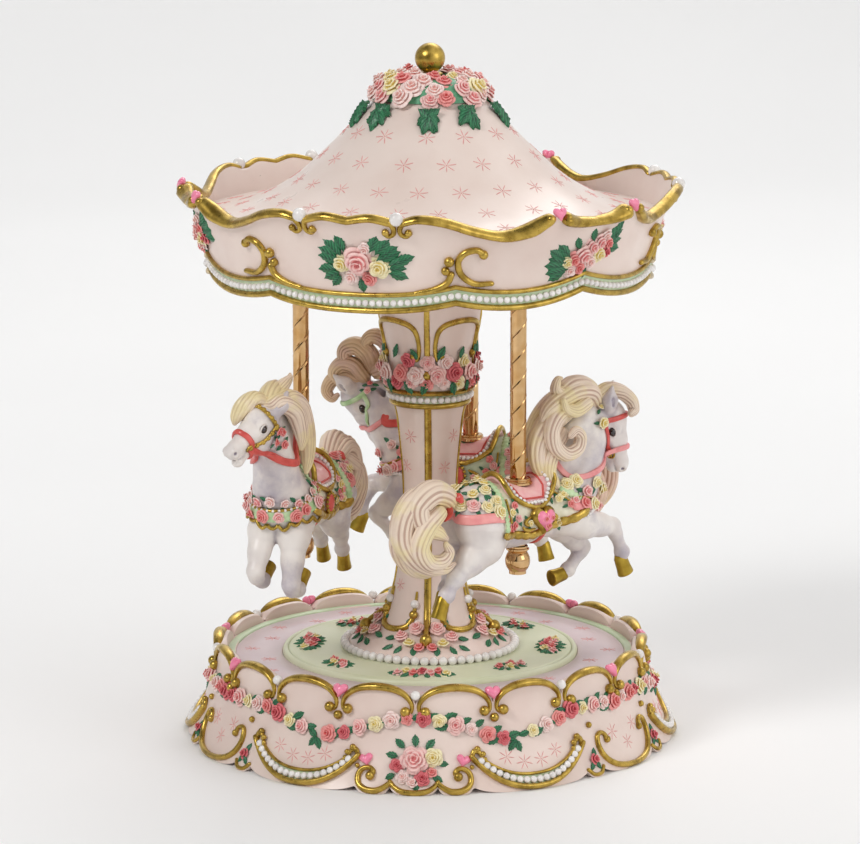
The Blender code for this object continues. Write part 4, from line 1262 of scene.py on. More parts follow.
def make_crown(flowers):
    """The wreath of roses at the roof's top, with leaves lying down the slope below it."""
    shape = Shape()
    ring_loft(shape, turned_ring(
        [(7.6, 271.6), (20.0, 267.4), (22.6, 266.0), (21.6, 270.0), (17.0, 274.0), (11.0, 275.4),
         (7.6, 275.0)]), 96)
    shape.finish("crown_bed", "canopy", LEAF, "leaf_resin", ["flower_crown"], flat_angle=60.0)
    rows = ((22.6, 267.6, 15, 4.3, 1.0), (20.4, 271.0, 13, 4.6, 0.8), (15.6, 273.6, 11, 4.5, 0.5),
            (11.0, 274.8, 8, 3.8, 0.35))
    colours = ["pink", "blush", "coral", "cream", "pink", "coral", "blush", "cream", "pink"]
    for row, (radius, z, count, size, lean) in enumerate(rows):
        for number in range(count):
            angle = 360.0 * (number + 0.4 * row) / count + RNG.uniform(-4.0, 4.0)
            centre = polar(radius + RNG.uniform(-0.6, 0.6), angle, z + RNG.uniform(-0.6, 0.8))
            normal = unit(polar(lean, angle, 0.8))
            flowers.rose(colours[(number * (2 + row) + row) % 9], centre, normal,
                         size + RNG.uniform(-0.7, 0.7))
    for number in range(9):
        angle = 40.0 * number + RNG.uniform(-5.0, 5.0)
        foot = RNG.uniform(24.6, 26.4)
        for spread in (-62.0, -34.0, -10.0, 14.0, 38.0, 64.0):
            centre, normal = ROOF_SURFACE.at(angle + spread * 0.15, OUTSIDE - foot, 1.4)
            toward = heading(normal, spread + RNG.uniform(-10.0, 10.0), polar(1.0, angle))
            flowers.leaf(centre, normal, toward, RNG.uniform(9.5, 12.5) * (1.0 - abs(spread) / 320.0))


def make_finial():
    low, high = box_mm("finial_ball")
    radius = (high[2] - low[2]) / 2
    shape = Shape()
    tilt = np.linspace(-88.0, 88.0, 28)
    arc = [(radius * math.cos(math.radians(t)),
            high[2] - radius + radius * math.sin(math.radians(t))) for t in tilt]
    ring_loft(shape, turned_ring(arc + [(0.15, high[2] - 0.02), (0.15, low[2] + 0.02)]), 64)
    shape.finish("finial_globe", "canopy", GOLD, "gold_paint", ["finial_ball"], flat_angle=60.0)
    shape = Shape()
    profile = [(2.4, 271.5), (6.6, 271.5), (7.0, 272.3), (7.0, 273.2), (6.3, 273.7), (5.7, 274.0),
               (5.9, 274.5), (5.5, 275.0), (4.9, 275.3), (5.3, 275.7), (5.2, 276.2), (4.4, 276.6),
               (2.4, 276.6)]
    ring_loft(shape, turned_ring(profile), 64)
    shape.finish("finial_rings", "canopy", GOLD, "gold_paint", ["finial_collar"], flat_angle=60.0)


def make_canopy():
    gold, pearls, bed, hearts, stars = Shape(), Shape(), Shape(), Shape(), Shape()
    flowers = Flowers()
    make_canopy_shells()
    make_pearl_bed(gold, pearls, bed)
    make_valance_scrolls(gold)
    make_rim_wave(gold, pearls, hearts)
    for panel in range(3):
        middle = valance_middle(panel)
        rose_spray(flowers, VALANCE, middle + 1.5, 212.5, *A_BOUQUET)
        rose_spray(flowers, VALANCE, middle + 60.0, 213.0, *B_BOUQUET)
    rows = ((34.0, 13), (44.0, 16), (55.0, 20), (66.0, 22), (77.0, 26), (87.0, 28))
    for row, (radius, count) in enumerate(rows):
        for number in range(count):
            star(stars, ROOF_SURFACE, 360.0 * (number + 0.5 * (row % 2)) / count + RNG.uniform(-2, 2),
                 OUTSIDE - radius, 3.7)
    make_crown(flowers)
    make_finial()
    gold.finish("canopy_gold", "canopy", GOLD, "gold_paint", flat_angle=70.0)
    pearls.finish("canopy_pearls", "canopy", PEARL, "pearl")
    bed.finish("pearl_bed", "canopy", MINT, "medallion_resin", flat_angle=60.0)
    hearts.finish("canopy_hearts", "canopy", HEART, "pink_enamel", flat_angle=80.0)
    stars.finish("canopy_stars", "canopy", STAR, "pink_enamel", flat_angle=30.0)
    flowers.finish("canopy", "canopy")


# ---------------------------------------------------------------- poles
def make_pole(number):
    """Polished pole with a fine spiral groove, its collar on the saddle and its ball under the belly."""
    place = POLES[number]
    low, high = box_mm(f"pole_{number + 1}")
    radius = (high[0] - low[0]) / 2
    pitch, sides = 10.4, 72
    z = np.arange(low[2], high[2], 0.32)
    turn = np.arange(sides) * 2.0 * math.pi / sides
    phase = 2.0 * (turn[None, :] - 2.0 * math.pi * z[:, None] / (2.0 * pitch))
    groove = np.exp(-((np.mod(phase / (2.0 * math.pi), 1.0) - 0.5) / 0.045) ** 2)
    reach = radius * (1.0 - 0.075 * groove) + 0.10 * np.exp(
        -((np.mod(phase / (2.0 * math.pi), 1.0) - 0.57) / 0.035) ** 2)
    points = np.stack([reach * np.cos(turn), reach * np.sin(turn), z[:, None] + 0 * reach], axis=-1)
    points = points + np.array([place[0], place[1], 0.0])
    shape = Shape()
    faces = grid_faces(len(z), sides, False, True)
    faces.append(list(range(sides))[::-1])
    faces.append(list(range((len(z) - 1) * sides, len(z) * sides)))
    shape.add(points, faces)
    label = number + 1
    shape.finish(f"twisted_pole_{label}", f"horse_set_{label}", BRASS, "brass", [f"pole_{label}"],
                 flat_angle=60.0)
    bore = radius + 0.2
    globe = [(5.3 * math.cos(math.radians(t)), 82.0 + 5.3 * math.sin(math.radians(t)))
             for t in range(-50, 48, 7)]
    ball_profile = [(bore, 76.9), *globe, (4.4, 86.2), (4.9, 86.5), (4.9, 87.0), (4.3, 87.3), (4.3, 88.0),
                    (bore, 88.0)]
    collar_profile = [(bore, 113.5), (5.6, 113.5), (6.2, 113.9), (6.2, 114.6), (5.6, 115.0), (5.4, 115.3),
                      (5.6, 115.7), (5.2, 116.2), (bore, 116.2)]
    for node, name, profile in (("pole_ball", "turned_ball", ball_profile),
                                ("saddle_collar", "turned_collar", collar_profile)):
        (low_x, _, low_z), (high_x, _, high_z) = box_mm(f"{node}_{label}")
        profile = np.array(profile)
        share = (profile[:, 1] - profile[:, 1].min()) / np.ptp(profile[:, 1])
        profile[:, 1] = low_z + share * (high_z - low_z)
        profile[:, 0] *= np.where(profile[:, 0] > bore + 0.1, (high_x - low_x) / 2 / profile[:, 0].max(),
                                  1.0)
        shape = Shape()
        ring_loft(shape, turned_ring(profile), 64)
        shape.points[0] = shape.points[0] + np.array([place[0], place[1], 0.0])
        shape.finish(f"{name}_{label}", f"horse_set_{label}", BRASS, "brass", [f"{node}_{label}"],
                     flat_angle=35.0)


# ---------------------------------------------------------------- horses
class Clay:
    """Smoothly joined masses on a grid of distances, turned into one closed mesh by surface nets."""

    def __init__(self, low, high, step):
        self.low = np.asarray(low, float)
        self.step = step
        self.size = np.ceil((np.asarray(high) - low) / step).astype(int) + 1
        self.field = np.full(self.size, 50.0, np.float32)

    def region(self, low, high):
        first = np.clip(np.floor((low - self.low) / self.step).astype(int), 0, self.size - 1)
        last = np.clip(np.ceil((high - self.low) / self.step).astype(int) + 1, 1, self.size)
        window = tuple(slice(a, b) for a, b in zip(first, last))
        axes = [self.low[k] + self.step * np.arange(first[k], last[k]) for k in range(3)]
        x, y, z = np.meshgrid(*axes, indexing="ij", sparse=True)
        return window, x, y, z

    def blend(self, window, distance, soft, carve=False):
        old = self.field[window]
        distance = distance.astype(np.float32)
        if carve:
            share = np.maximum(soft - np.abs(old + distance), 0.0) / soft
            self.field[window] = np.maximum(old, -distance) + share * share * soft * 0.25
        else:
            share = np.maximum(soft - np.abs(old - distance), 0.0) / soft
            self.field[window] = np.minimum(old, distance) - share * share * soft * 0.25

    def limb(self, chain, soft=2.5, carve=False):
        """Round cones from each (x, y, z, radius) to the next."""
        chain = np.asarray(chain, float)
        pairs = zip(chain, chain[1:]) if len(chain) > 1 else [(chain[0], chain[0])]
        for a, b in pairs:
            reach = max(a[3], b[3]) + soft + 1.5
            window, x, y, z = self.region(np.minimum(a[:3], b[:3]) - reach, np.maximum(a[:3], b[:3]) + reach)
            along = b[:3] - a[:3]
            length = float(along @ along) or 1.0
            share = np.clip(((x - a[0]) * along[0] + (y - a[1]) * along[1] + (z - a[2]) * along[2]) / length,
                            0.0, 1.0)
            away = np.sqrt((x - a[0] - along[0] * share) ** 2 + (y - a[1] - along[1] * share) ** 2
                           + (z - a[2] - along[2] * share) ** 2)
            self.blend(window, away - (a[3] + (b[3] - a[3]) * share), soft, carve)

    def lump(self, centre, radii, axes=None, soft=2.5, carve=False):
        """An ellipsoid; the rows of axes are its own directions."""
        centre, radii = np.asarray(centre, float), np.asarray(radii, float)
        axes = np.eye(3) if axes is None else np.asarray(axes)
        reach = radii.max() + soft + 1.5
        window, x, y, z = self.region(centre - reach, centre + reach)
        x, y, z = x - centre[0], y - centre[1], z - centre[2]
        parts = [(x * axes[k][0] + y * axes[k][1] + z * axes[k][2]) / radii[k] for k in range(3)]
        first = np.sqrt(parts[0] ** 2 + parts[1] ** 2 + parts[2] ** 2)
        second = np.sqrt((parts[0] / radii[0]) ** 2 + (parts[1] / radii[1]) ** 2 + (parts[2] / radii[2]) ** 2)
        self.blend(window, first * (first - 1.0) / np.maximum(second, 1e-6), soft, carve)

    def mesh(self):
        """Vertices and quads, facing out."""
        field = self.field
        inside = field < 0.0
        shape = np.array(field.shape) - 1
        total = np.zeros((*shape, 3), np.float32)
        count = np.zeros(shape, np.float32)
        for axis in range(3):
            others = [k for k in range(3) if k != axis]
            near = [slice(None)] * 3
            far = [slice(None)] * 3
            near[axis], far[axis] = slice(0, -1), slice(1, None)
            near, far = tuple(near), tuple(far)
            crossed = inside[near] != inside[far]
            share = np.where(crossed, field[near] / np.where(crossed, field[near] - field[far], 1.0), 0.0)
            for da in (0, 1):
                for db in (0, 1):
                    cut = [slice(None)] * 3
                    cut[others[0]] = slice(da, da + shape[others[0]])
                    cut[others[1]] = slice(db, db + shape[others[1]])
                    cut = tuple(cut)
                    here = crossed[cut]
                    count += here
                    total[..., axis] += np.where(here, share[cut], 0.0)
                    total[..., others[0]] += here * da
                    total[..., others[1]] += here * db
        active = count > 0
        number = np.full(shape, -1, np.int64)
        number[active] = np.arange(int(active.sum()))
        cells = np.argwhere(active)
        points = self.low + self.step * (cells + total[active] / count[active][:, None])
        quads = []
        for axis in range(3):
            b, c = (axis + 1) % 3, (axis + 2) % 3
            near = [slice(1, -1)] * 3
            far = [slice(1, -1)] * 3
            near[axis], far[axis] = slice(0, -1), slice(1, None)
            first, second = inside[tuple(near)], inside[tuple(far)]
            for flip, hit in ((False, first & ~second), (True, ~first & second)):
                spot = np.argwhere(hit)
                offset = np.ones(3, int)
                offset[axis] = 0
                spot = spot + offset
                corner = []
                for db, dc in ((-1, -1), (0, -1), (0, 0), (-1, 0)):
                    cell = spot.copy()
                    cell[:, b] += db
                    cell[:, c] += dc
                    corner.append(number[cell[:, 0], cell[:, 1], cell[:, 2]])
                quad = np.stack(corner, axis=-1)
                quads.append(quad[:, ::-1] if flip else quad)
        return points, np.concatenate(quads)


class Head:
    """Places points by a along the face, f towards its front and s to the left, then turns the head."""

    ALONG, DEEP, WIDE, THICK = 0.97, 1.25, 1.14, 1.17

    def __init__(self, turn, poll, slope):
        self.poll = np.array([poll[0], 0.0, poll[1]])
        slope = math.radians(slope)
        down = np.array([math.cos(slope), 0.0, -math.sin(slope)])
        front = np.array([math.sin(slope), 0.0, math.cos(slope)])
        cosine, sine = math.cos(math.radians(turn)), math.sin(math.radians(turn))
        self.turn = np.array([[cosine, -sine, 0.0], [sine, cosine, 0.0], [0.0, 0.0, 1.0]])
        self.axes = np.stack([self.turn @ down, self.turn @ front, self.turn @ np.array([0.0, 1.0, 0.0])])
        self.start = self.poll + self.turn @ np.array([1.0, 0.0, -1.0])

    def __call__(self, a, f=0.0, s=0.0, *radius):
        along, front, left = self.axes
        point = self.start + a * self.ALONG * along + f * self.DEEP * front + s * self.WIDE * left
        return (*point, *(r * self.THICK for r in radius))

    def sized(self, *radii):
        return np.array(radii) * (self.ALONG, self.DEEP, self.WIDE)


# each leg from its root: (x, y, z, radius), x ahead, y to the horse's left;
# the last two points are the hoof's top and tip
HIND_NEAR = [(-23, -6, 99, 9.8), (-23.5, -6.6, 92, 7.6), (-30, -6.8, 87, 5.6), (-37.0, -6.6, 81, 3.6),
             (-38.4, -6.5, 79.6, 3.2), (-40.6, -6.5, 76.4, 2.5), (-42.0, -6.5, 74.4, 3.0),
             (-43.6, -6.5, 72.2, 2.5), (-44.2, -6.5, 71.2), (-46.6, -6.5, 65.8)]
HIND_FAR = [(-23, 6, 99, 9.8), (-19, 6.6, 92, 7.2), (-23, 6.8, 86.5, 5.6), (-29.5, 6.6, 80.5, 3.5),
            (-30.0, 6.6, 78.8, 3.2), (-31.4, 6.5, 75.4, 2.4), (-32.2, 6.5, 73.4, 2.9),
            (-33.4, 6.5, 71.0, 2.4), (-33.8, 6.5, 70.0), (-35.4, 6.5, 65.0)]
FORE_NEAR = [(22, -6, 99, 8.2), (29, -6.4, 94.5, 6.4), (38, -6.5, 92.6, 4.5), (44.8, -6.5, 91.0, 3.6),
             (46.6, -6.5, 88.0, 3.0), (49.2, -6.5, 82.4, 2.35), (50.4, -6.5, 79.6, 2.95),
             (50.2, -6.5, 76.6, 2.4), (50.2, -6.5, 75.6), (52.0, -6.5, 70.4)]
FORE_FAR = [(22, 6, 99, 8.0), (28, 6.4, 91.5, 6.0), (35, 6.5, 85, 4.2), (39.6, 6.5, 80.8, 3.5),
            (38.6, 6.5, 78.8, 3.0), (34.4, 6.5, 74.2, 2.35), (32.2, 6.5, 72.2, 2.9), (29.4, 6.5, 70.8, 2.4),
            (28.6, 6.5, 70.6), (23.6, 6.5, 70.2)]
LEGS = (HIND_NEAR, HIND_FAR, FORE_NEAR, FORE_FAR)
# the left-hand horse folds both forelegs under its knees
FOLD_NEAR = [(22, -6, 99, 8.2), (28.5, -6.4, 93, 6.2), (33.5, -6.6, 85.5, 4.3), (37.4, -6.8, 78.0, 3.6),
             (36.6, -6.8, 75.4, 3.1), (32.0, -6.8, 72.6, 2.4), (29.4, -6.8, 72.4, 3.0),
             (26.6, -6.8, 73.4, 2.4), (25.8, -6.8, 73.8), (21.4, -6.8, 76.4)]
FOLD_FAR = [(22, 6, 99, 8.2), (28, 6.6, 91.5, 6.2), (31.5, 7.0, 82.0, 4.3), (34.0, 7.2, 72.6, 3.7),
            (33.0, 7.2, 70.2, 3.1), (28.4, 7.2, 68.6, 2.4), (25.8, 7.2, 68.8, 3.0), (23.0, 7.2, 70.2, 2.4),
            (22.2, 7.2, 70.8), (18.2, 7.2, 74.0)]


def sculpt_body(clay):
    for centre, radii in (
        ((0, 0, 101.0), (23, 11.2, 12.0)), ((-7, 0, 99.0), (16, 10.2, 10.0)),
        ((-21.5, 0, 104.0), (12.5, 11.0, 12.0)), ((-11, 0, 107.0), (14, 8.0, 6.0)),
        ((20, 0, 101.0), (12, 10.4, 12.0)), ((29.5, 0, 102), (7.0, 7.8, 8.5)),
        ((14, 0, 111.0), (9, 5.0, 4.6)),
    ):
        clay.lump(centre, radii, soft=5.0)
    for side in (-1, 1):
        clay.lump((20, side * 7.0, 102.5), (7.5, 4.6, 10.5), soft=3.0)
        clay.lump((29.5, side * 3.6, 98.5), (4.5, 4.2, 6.0), soft=2.0)
        clay.lump((-22.5, side * 6.4, 100.0), (10.5, 5.4, 11.5), soft=3.0)
        clay.lump((-29.5, side * 4.4, 102.0), (4.5, 5.0, 8.0), soft=2.5)
        clay.lump((-17.5, side * 7.2, 94.5), (5.5, 3.6, 6.5), soft=2.5)


def sculpt_leg(clay, leg):
    chain = leg[:-2]
    clay.limb(chain[:4], soft=3.0)
    clay.limb(chain[3:], soft=1.1)
    x, y, z, radius = chain[3]
    clay.lump((x, y, z), (radius * 1.02, radius * 0.95, radius * 1.05), soft=1.0)
    x, y, z, radius = chain[6]
    clay.lump((x, y, z), (radius * 1.08, radius * 1.02, radius), soft=1.0)


def sculpt_head(clay, head, gape):
    clay.lump(head(2.0, 0.4), head.sized(8.0, 6.2, 5.4), head.axes, soft=3.0)
    clay.limb([head(5.0, 1.2, 0, 4.6), head(12.0, 0.9, 0, 3.9), head(20.0, 0.7, 0, 2.8)], soft=2.0)
    clay.limb([head(4.0, 4.2, 0, 1.9), head(12.0, 3.2, 0, 1.7), head(21.0, 1.9, 0, 1.4)], soft=1.6)
    clay.limb([head(12.0, -2.8, 0, 2.8), head(18.0, -2.2 - gape * 0.5, 0, 2.0),
               head(23.0, -2.2 - gape, 0, 1.7)], soft=1.6)
    clay.lump(head(22.2, 0.7), head.sized(4.3, 3.0, 3.0), head.axes, soft=1.6)
    clay.lump(head(22.8, -2.3 - gape), head.sized(2.8, 1.5, 2.2), head.axes, soft=1.0)
    for side in (-1, 1):
        clay.lump(head(8.2, -2.6, side * 2.2), head.sized(5.8, 5.2, 2.7), head.axes, soft=1.8)
        clay.limb([head(8.6, 0.6, side * 3.9, 1.2), head(13.0, 0.3, side * 3.0, 0.9),
                   head(18.0, 0.4, side * 2.0, 0.7)], soft=1.2)
        clay.lump(head(6.0, 2.5, side * 3.4), head.sized(3.0, 1.5, 1.5), head.axes, soft=1.2)
        clay.lump(head(24.2, 1.3, side * 1.9), head.sized(2.0, 1.7, 1.4), head.axes, soft=0.8)
        clay.lump(head(25.0, 1.3, side * 3.0), head.sized(1.15, 0.8, 1.0), head.axes, soft=0.4, carve=True)
        clay.limb([head(26.6, -0.9 - gape * 0.4, side * 0.8, 0.45),
                   head(23.6, -1.0 - gape * 0.4, side * 2.7, 0.4),
                   head(20.6, -1.0, side * 3.0, 0.3)], soft=0.4, carve=True)
        clay.lump(head(7.8, 1.0, side * 5.1), head.sized(2.1, 1.4, 1.25), head.axes, soft=0.5, carve=True)
        clay.limb([head(-2.4, 1.6, side * 3.6, 2.6), head(-5.8, 2.8, side * 5.0, 2.8),
                   head(-11.2, 4.6, side * 5.3, 0.6)], soft=1.0)
        clay.limb([head(-3.2, 4.0, side * 6.6, 1.0), head(-5.8, 4.6, side * 7.3, 1.3),
                   head(-9.4, 5.6, side * 6.8, 0.4)],
                  soft=0.3, carve=True)
        clay.limb([head(0.5, -6.4, side * 6.4, 0.9), head(6.0, -8.0, side * 5.8, 1.0),
                   head(11.5, -7.6, side * 4.6, 1.2)],
                  soft=1.2, carve=True)
    if gape:
        clay.limb([head(27.0, -1.3 - gape * 0.4, 0, 0.6), head(20.5, -1.2 - gape * 0.3, 0, 0.3)], soft=0.4,
                  carve=True)


def sculpt_neck(clay, head):
    """The neck rises from the chest and bends towards the turned head."""
    angle = math.atan2(head.turn[1, 0], head.turn[0, 0])
    top_x, top_z = head.poll[0], head.poll[2]

    def bent(forward, rise, radius, share):
        x = 22.0 + (top_x - 22.0) * forward
        sway = angle * share * 0.10
        z = 104.0 + (top_z - 104.0) * rise
        return (22.0 + (x - 22.0) * math.cos(sway), (x - 22.0) * math.sin(sway), z, radius)

    clay.limb([bent(0, 0, 11.0, 0.0), bent(0.32, 0.2, 9.8, 0.1), bent(0.50, 0.43, 8.0, 0.3),
               bent(0.66, 0.68, 6.4, 0.6),
               bent(0.80, 0.90, 4.8, 1.0)], soft=4.0)
    clay.limb([bent(-0.3, 0.24, 4.8, 0.0), bent(0.05, 0.5, 5.2, 0.2), bent(0.28, 0.78, 5.0, 0.5),
               bent(0.62, 0.98, 4.4, 0.9)],
              soft=4.0)
    for side in (-1, 1):
        x, y, z, _ = bent(0.66, 0.58, 0, 0.45)
        clay.limb([(x, y + side * 4.6, z, 2.8), (30.5, side * 5.2, 112, 3.2), (30, side * 4.8, 104, 3.8)],
                  soft=2.0)


class Horse:
    """One horse's own frame, its sculpted body, and pieces laid on its skin."""

    def __init__(self, number, own_turn, head_turn, poll, slope, gape):
        self.label = number + 1
        self.body = f"horse_set_{self.label}"
        angle = math.radians(CANOPY_TURN + PANEL * number + own_turn)
        self.place = np.array([*POLES[number][:2], 0.0])
        self.axes = np.array([[math.cos(angle), math.sin(angle), 0.0],
                              [-math.sin(angle), math.cos(angle), 0.0], [0, 0, 1.0]])
        self.head = Head(head_turn, poll, slope)
        clay = Clay((-52.0, -22.0, 60.0), (71.0, 20.0, 158.0), 0.55)
        sculpt_body(clay)
        sculpt_neck(clay, self.head)
        sculpt_head(clay, self.head, gape)
        self.legs = (HIND_NEAR, HIND_FAR, FOLD_NEAR, FOLD_FAR) if self.label == 3 else LEGS
        for leg in self.legs:
            sculpt_leg(clay, leg)
        clay.limb([(-30, 0, 107, 4.0), (-34, 0, 108.5, 3.2)], soft=2.0)
        clay.limb([(0, 0, 60.0, 3.75), (0, 0, 150.0, 3.75)], soft=0.3, carve=True)
        self.points, self.quads = clay.mesh()
        self.skin = BVHTree.FromPolygons(self.points.tolist(), self.quads.tolist())
        shape = Shape()
        shape.add(self.points, self.quads)
        self.finish(shape, "sculpture", IVORY, "horse_resin", [f"horse_{self.label}"], flat_angle=180.0)

    def seat(self, points):
        return points @ self.axes + self.place

    def finish(self, shape, name, mat, slot, replaces=(), flat_angle=60.0):
        if shape.count:
            shape.finish(f"{name}_{self.label}", self.body, mat, slot, replaces, flat_angle, self.seat)

    def near(self, points, lift=0.0, smooth=0):
        """Each point moved to the nearest skin and lifted off it, with the skin's normals."""
        out, normals = [], []
        for point in np.atleast_2d(points):
            spot, normal, _, _ = self.skin.find_nearest(Vector(point))
            out.append(spot)
            normals.append(normal)
        out, normals = np.array(out), np.array(normals)
        for _ in range(smooth):
            normals[1:-1] = unit(normals[:-2] + 2 * normals[1:-1] + normals[2:])
            out[1:-1] = (out[:-2] + 2 * out[1:-1] + out[2:]) / 4
        return out + normals * np.asarray(lift)[..., None], normals

    def strap(self, shape, controls, radius, lift=0.3, wide=1.0, tall=1.0, steps=8, sides=12, closed=False,
              **more):
        path = smooth_path(controls, steps, closed)
        points, normals = self.near(path[:, :3], lift, smooth=2)
        tube(shape, points, radius, normals, wide=wide, tall=tall, sides=sides, closed=closed, **more)

    def roll(self, x, angle, lift=0.0):
        """Skin of the barrel at station x, angle round it from the top, positive to the horse's left."""
        turn = math.radians(angle)
        way = Vector((0.0, math.sin(turn), math.cos(turn)))
        start = Vector((x, 0.0, 101.0)) + way * 40.0
        spot, normal, _, _ = self.skin.ray_cast(start, -way)
        if spot is None:
            spot, normal, _, _ = self.skin.find_nearest(Vector((x, 0.0, 101.0)) + way * 12.0)
        return np.array(spot) + np.array(normal) * lift, np.array(normal)


def add_hooves(horse, shape):
    for leg in horse.legs:
        top, tip = np.array(leg[-2], float), np.array(leg[-1], float)
        way = unit(tip - top)
        length = float(np.linalg.norm(tip - top))
        ahead = unit(np.array([1.0, 0.0, 0.0]) - way * way[0])
        stations = np.array([(-0.6, 2.0), (-0.3, 2.75), (0.0, 2.85), (0.5, 3.0), (1.0, 3.35), (1.06, 3.3),
                             (1.06, 2.6), (0.96, 2.4)])
        path = top + way * (stations[:, :1] * length) + ahead * (0.45 * stations[:, :1])
        tube(shape, path, stations[:, 1], ahead, wide=0.92, tall=1.06, sides=24, round_ends=False)


def add_eyes(horse, eyes, lids):
    head = horse.head
    for side in (-1, 1):
        centre = np.array(head(7.8, 1.0, side * 4.05))
        ball(eyes, centre, 1.95, 20)
        ring = []
        for turn in np.linspace(0.0, 2.0 * math.pi, 20, endpoint=False):
            ring.append(head(7.8 + 2.3 * math.cos(turn), 1.0 + 1.35 * math.sin(turn),
                             side * (4.95 - 0.15 * math.cos(2 * turn))))
        tube(lids, np.array(ring), 0.34, horse.head.axes[2] * side, sides=8, closed=True)


# own turn on the pole, the head's turn, the poll's place, the slope of the face, how far the mouth is open
HORSE_POSES = (
    (-3.0, -42.0, (45.0, 138.6), 76.0, 0.0),
    (4.0, 16.0, (49.0, 134.0), 116.0, 0.0),
    (-29.0, -22.0, (41.0, 143.5), 31.0, 1.2),
)


def add_locks(shape, locks, strands=13, depth=0.06):
    """Moulded locks of hair: each is a list of (x, y, z, radius)."""
    for number, lock in enumerate(locks):
        track = smooth_path(lock, 9)
        along = unit(np.gradient(track[:, :3], axis=0))
        up = np.cross(along, np.cross((0.0, 1.0, 0.15), along))
        tube(shape, track[:, :3], np.maximum(track[:, 3], 0.25), up, wide=1.12, tall=1.2, sides=100,
             strands=strands, depth=depth,
             drift=0.6 + 0.37 * (number % 4))


TAIL = (
    [(-32, 0, 108, 2.8), (-39, -1, 114, 4.2), (-47, -2, 116, 4.8), (-53.5, -2, 111, 4.6),
     (-52, -4, 104, 3.8), (-46, -5, 100.5, 3.0), (-42, -6, 97.5, 1.2)],
    [(-40, 1, 112, 3.4), (-51, 1, 114, 4.2), (-58.5, 0, 108, 4.3), (-59.5, 0, 99, 4.3),
     (-55.5, -2, 91.5, 4.2), (-49.5, -4, 87, 3.5), (-43, -6, 85.5, 2.2), (-38.5, -7, 87, 0.8)],
    [(-44, -4, 108, 3.0), (-52, -6, 103, 3.6), (-55.5, -6, 95.5, 3.7), (-52, -7, 89.5, 3.3),
     (-46, -8, 89, 2.7), (-42.4, -8.5, 92.4, 2.0), (-44, -8.5, 96, 1.1)],
    [(-43, 4, 110, 3.2), (-53, 5, 104, 3.8), (-57, 5, 95, 3.8), (-53, 4, 86.5, 3.3), (-47, 2, 83, 2.4),
     (-41, 0, 83.5, 1.0)],
    [(-36, 2, 111, 3.0), (-44, 3, 114.5, 3.8), (-51, 4, 111, 3.8), (-51.5, 5.5, 103, 3.2),
     (-46.5, 6, 97, 2.4), (-42.5, 6, 93.5, 0.9)],
)
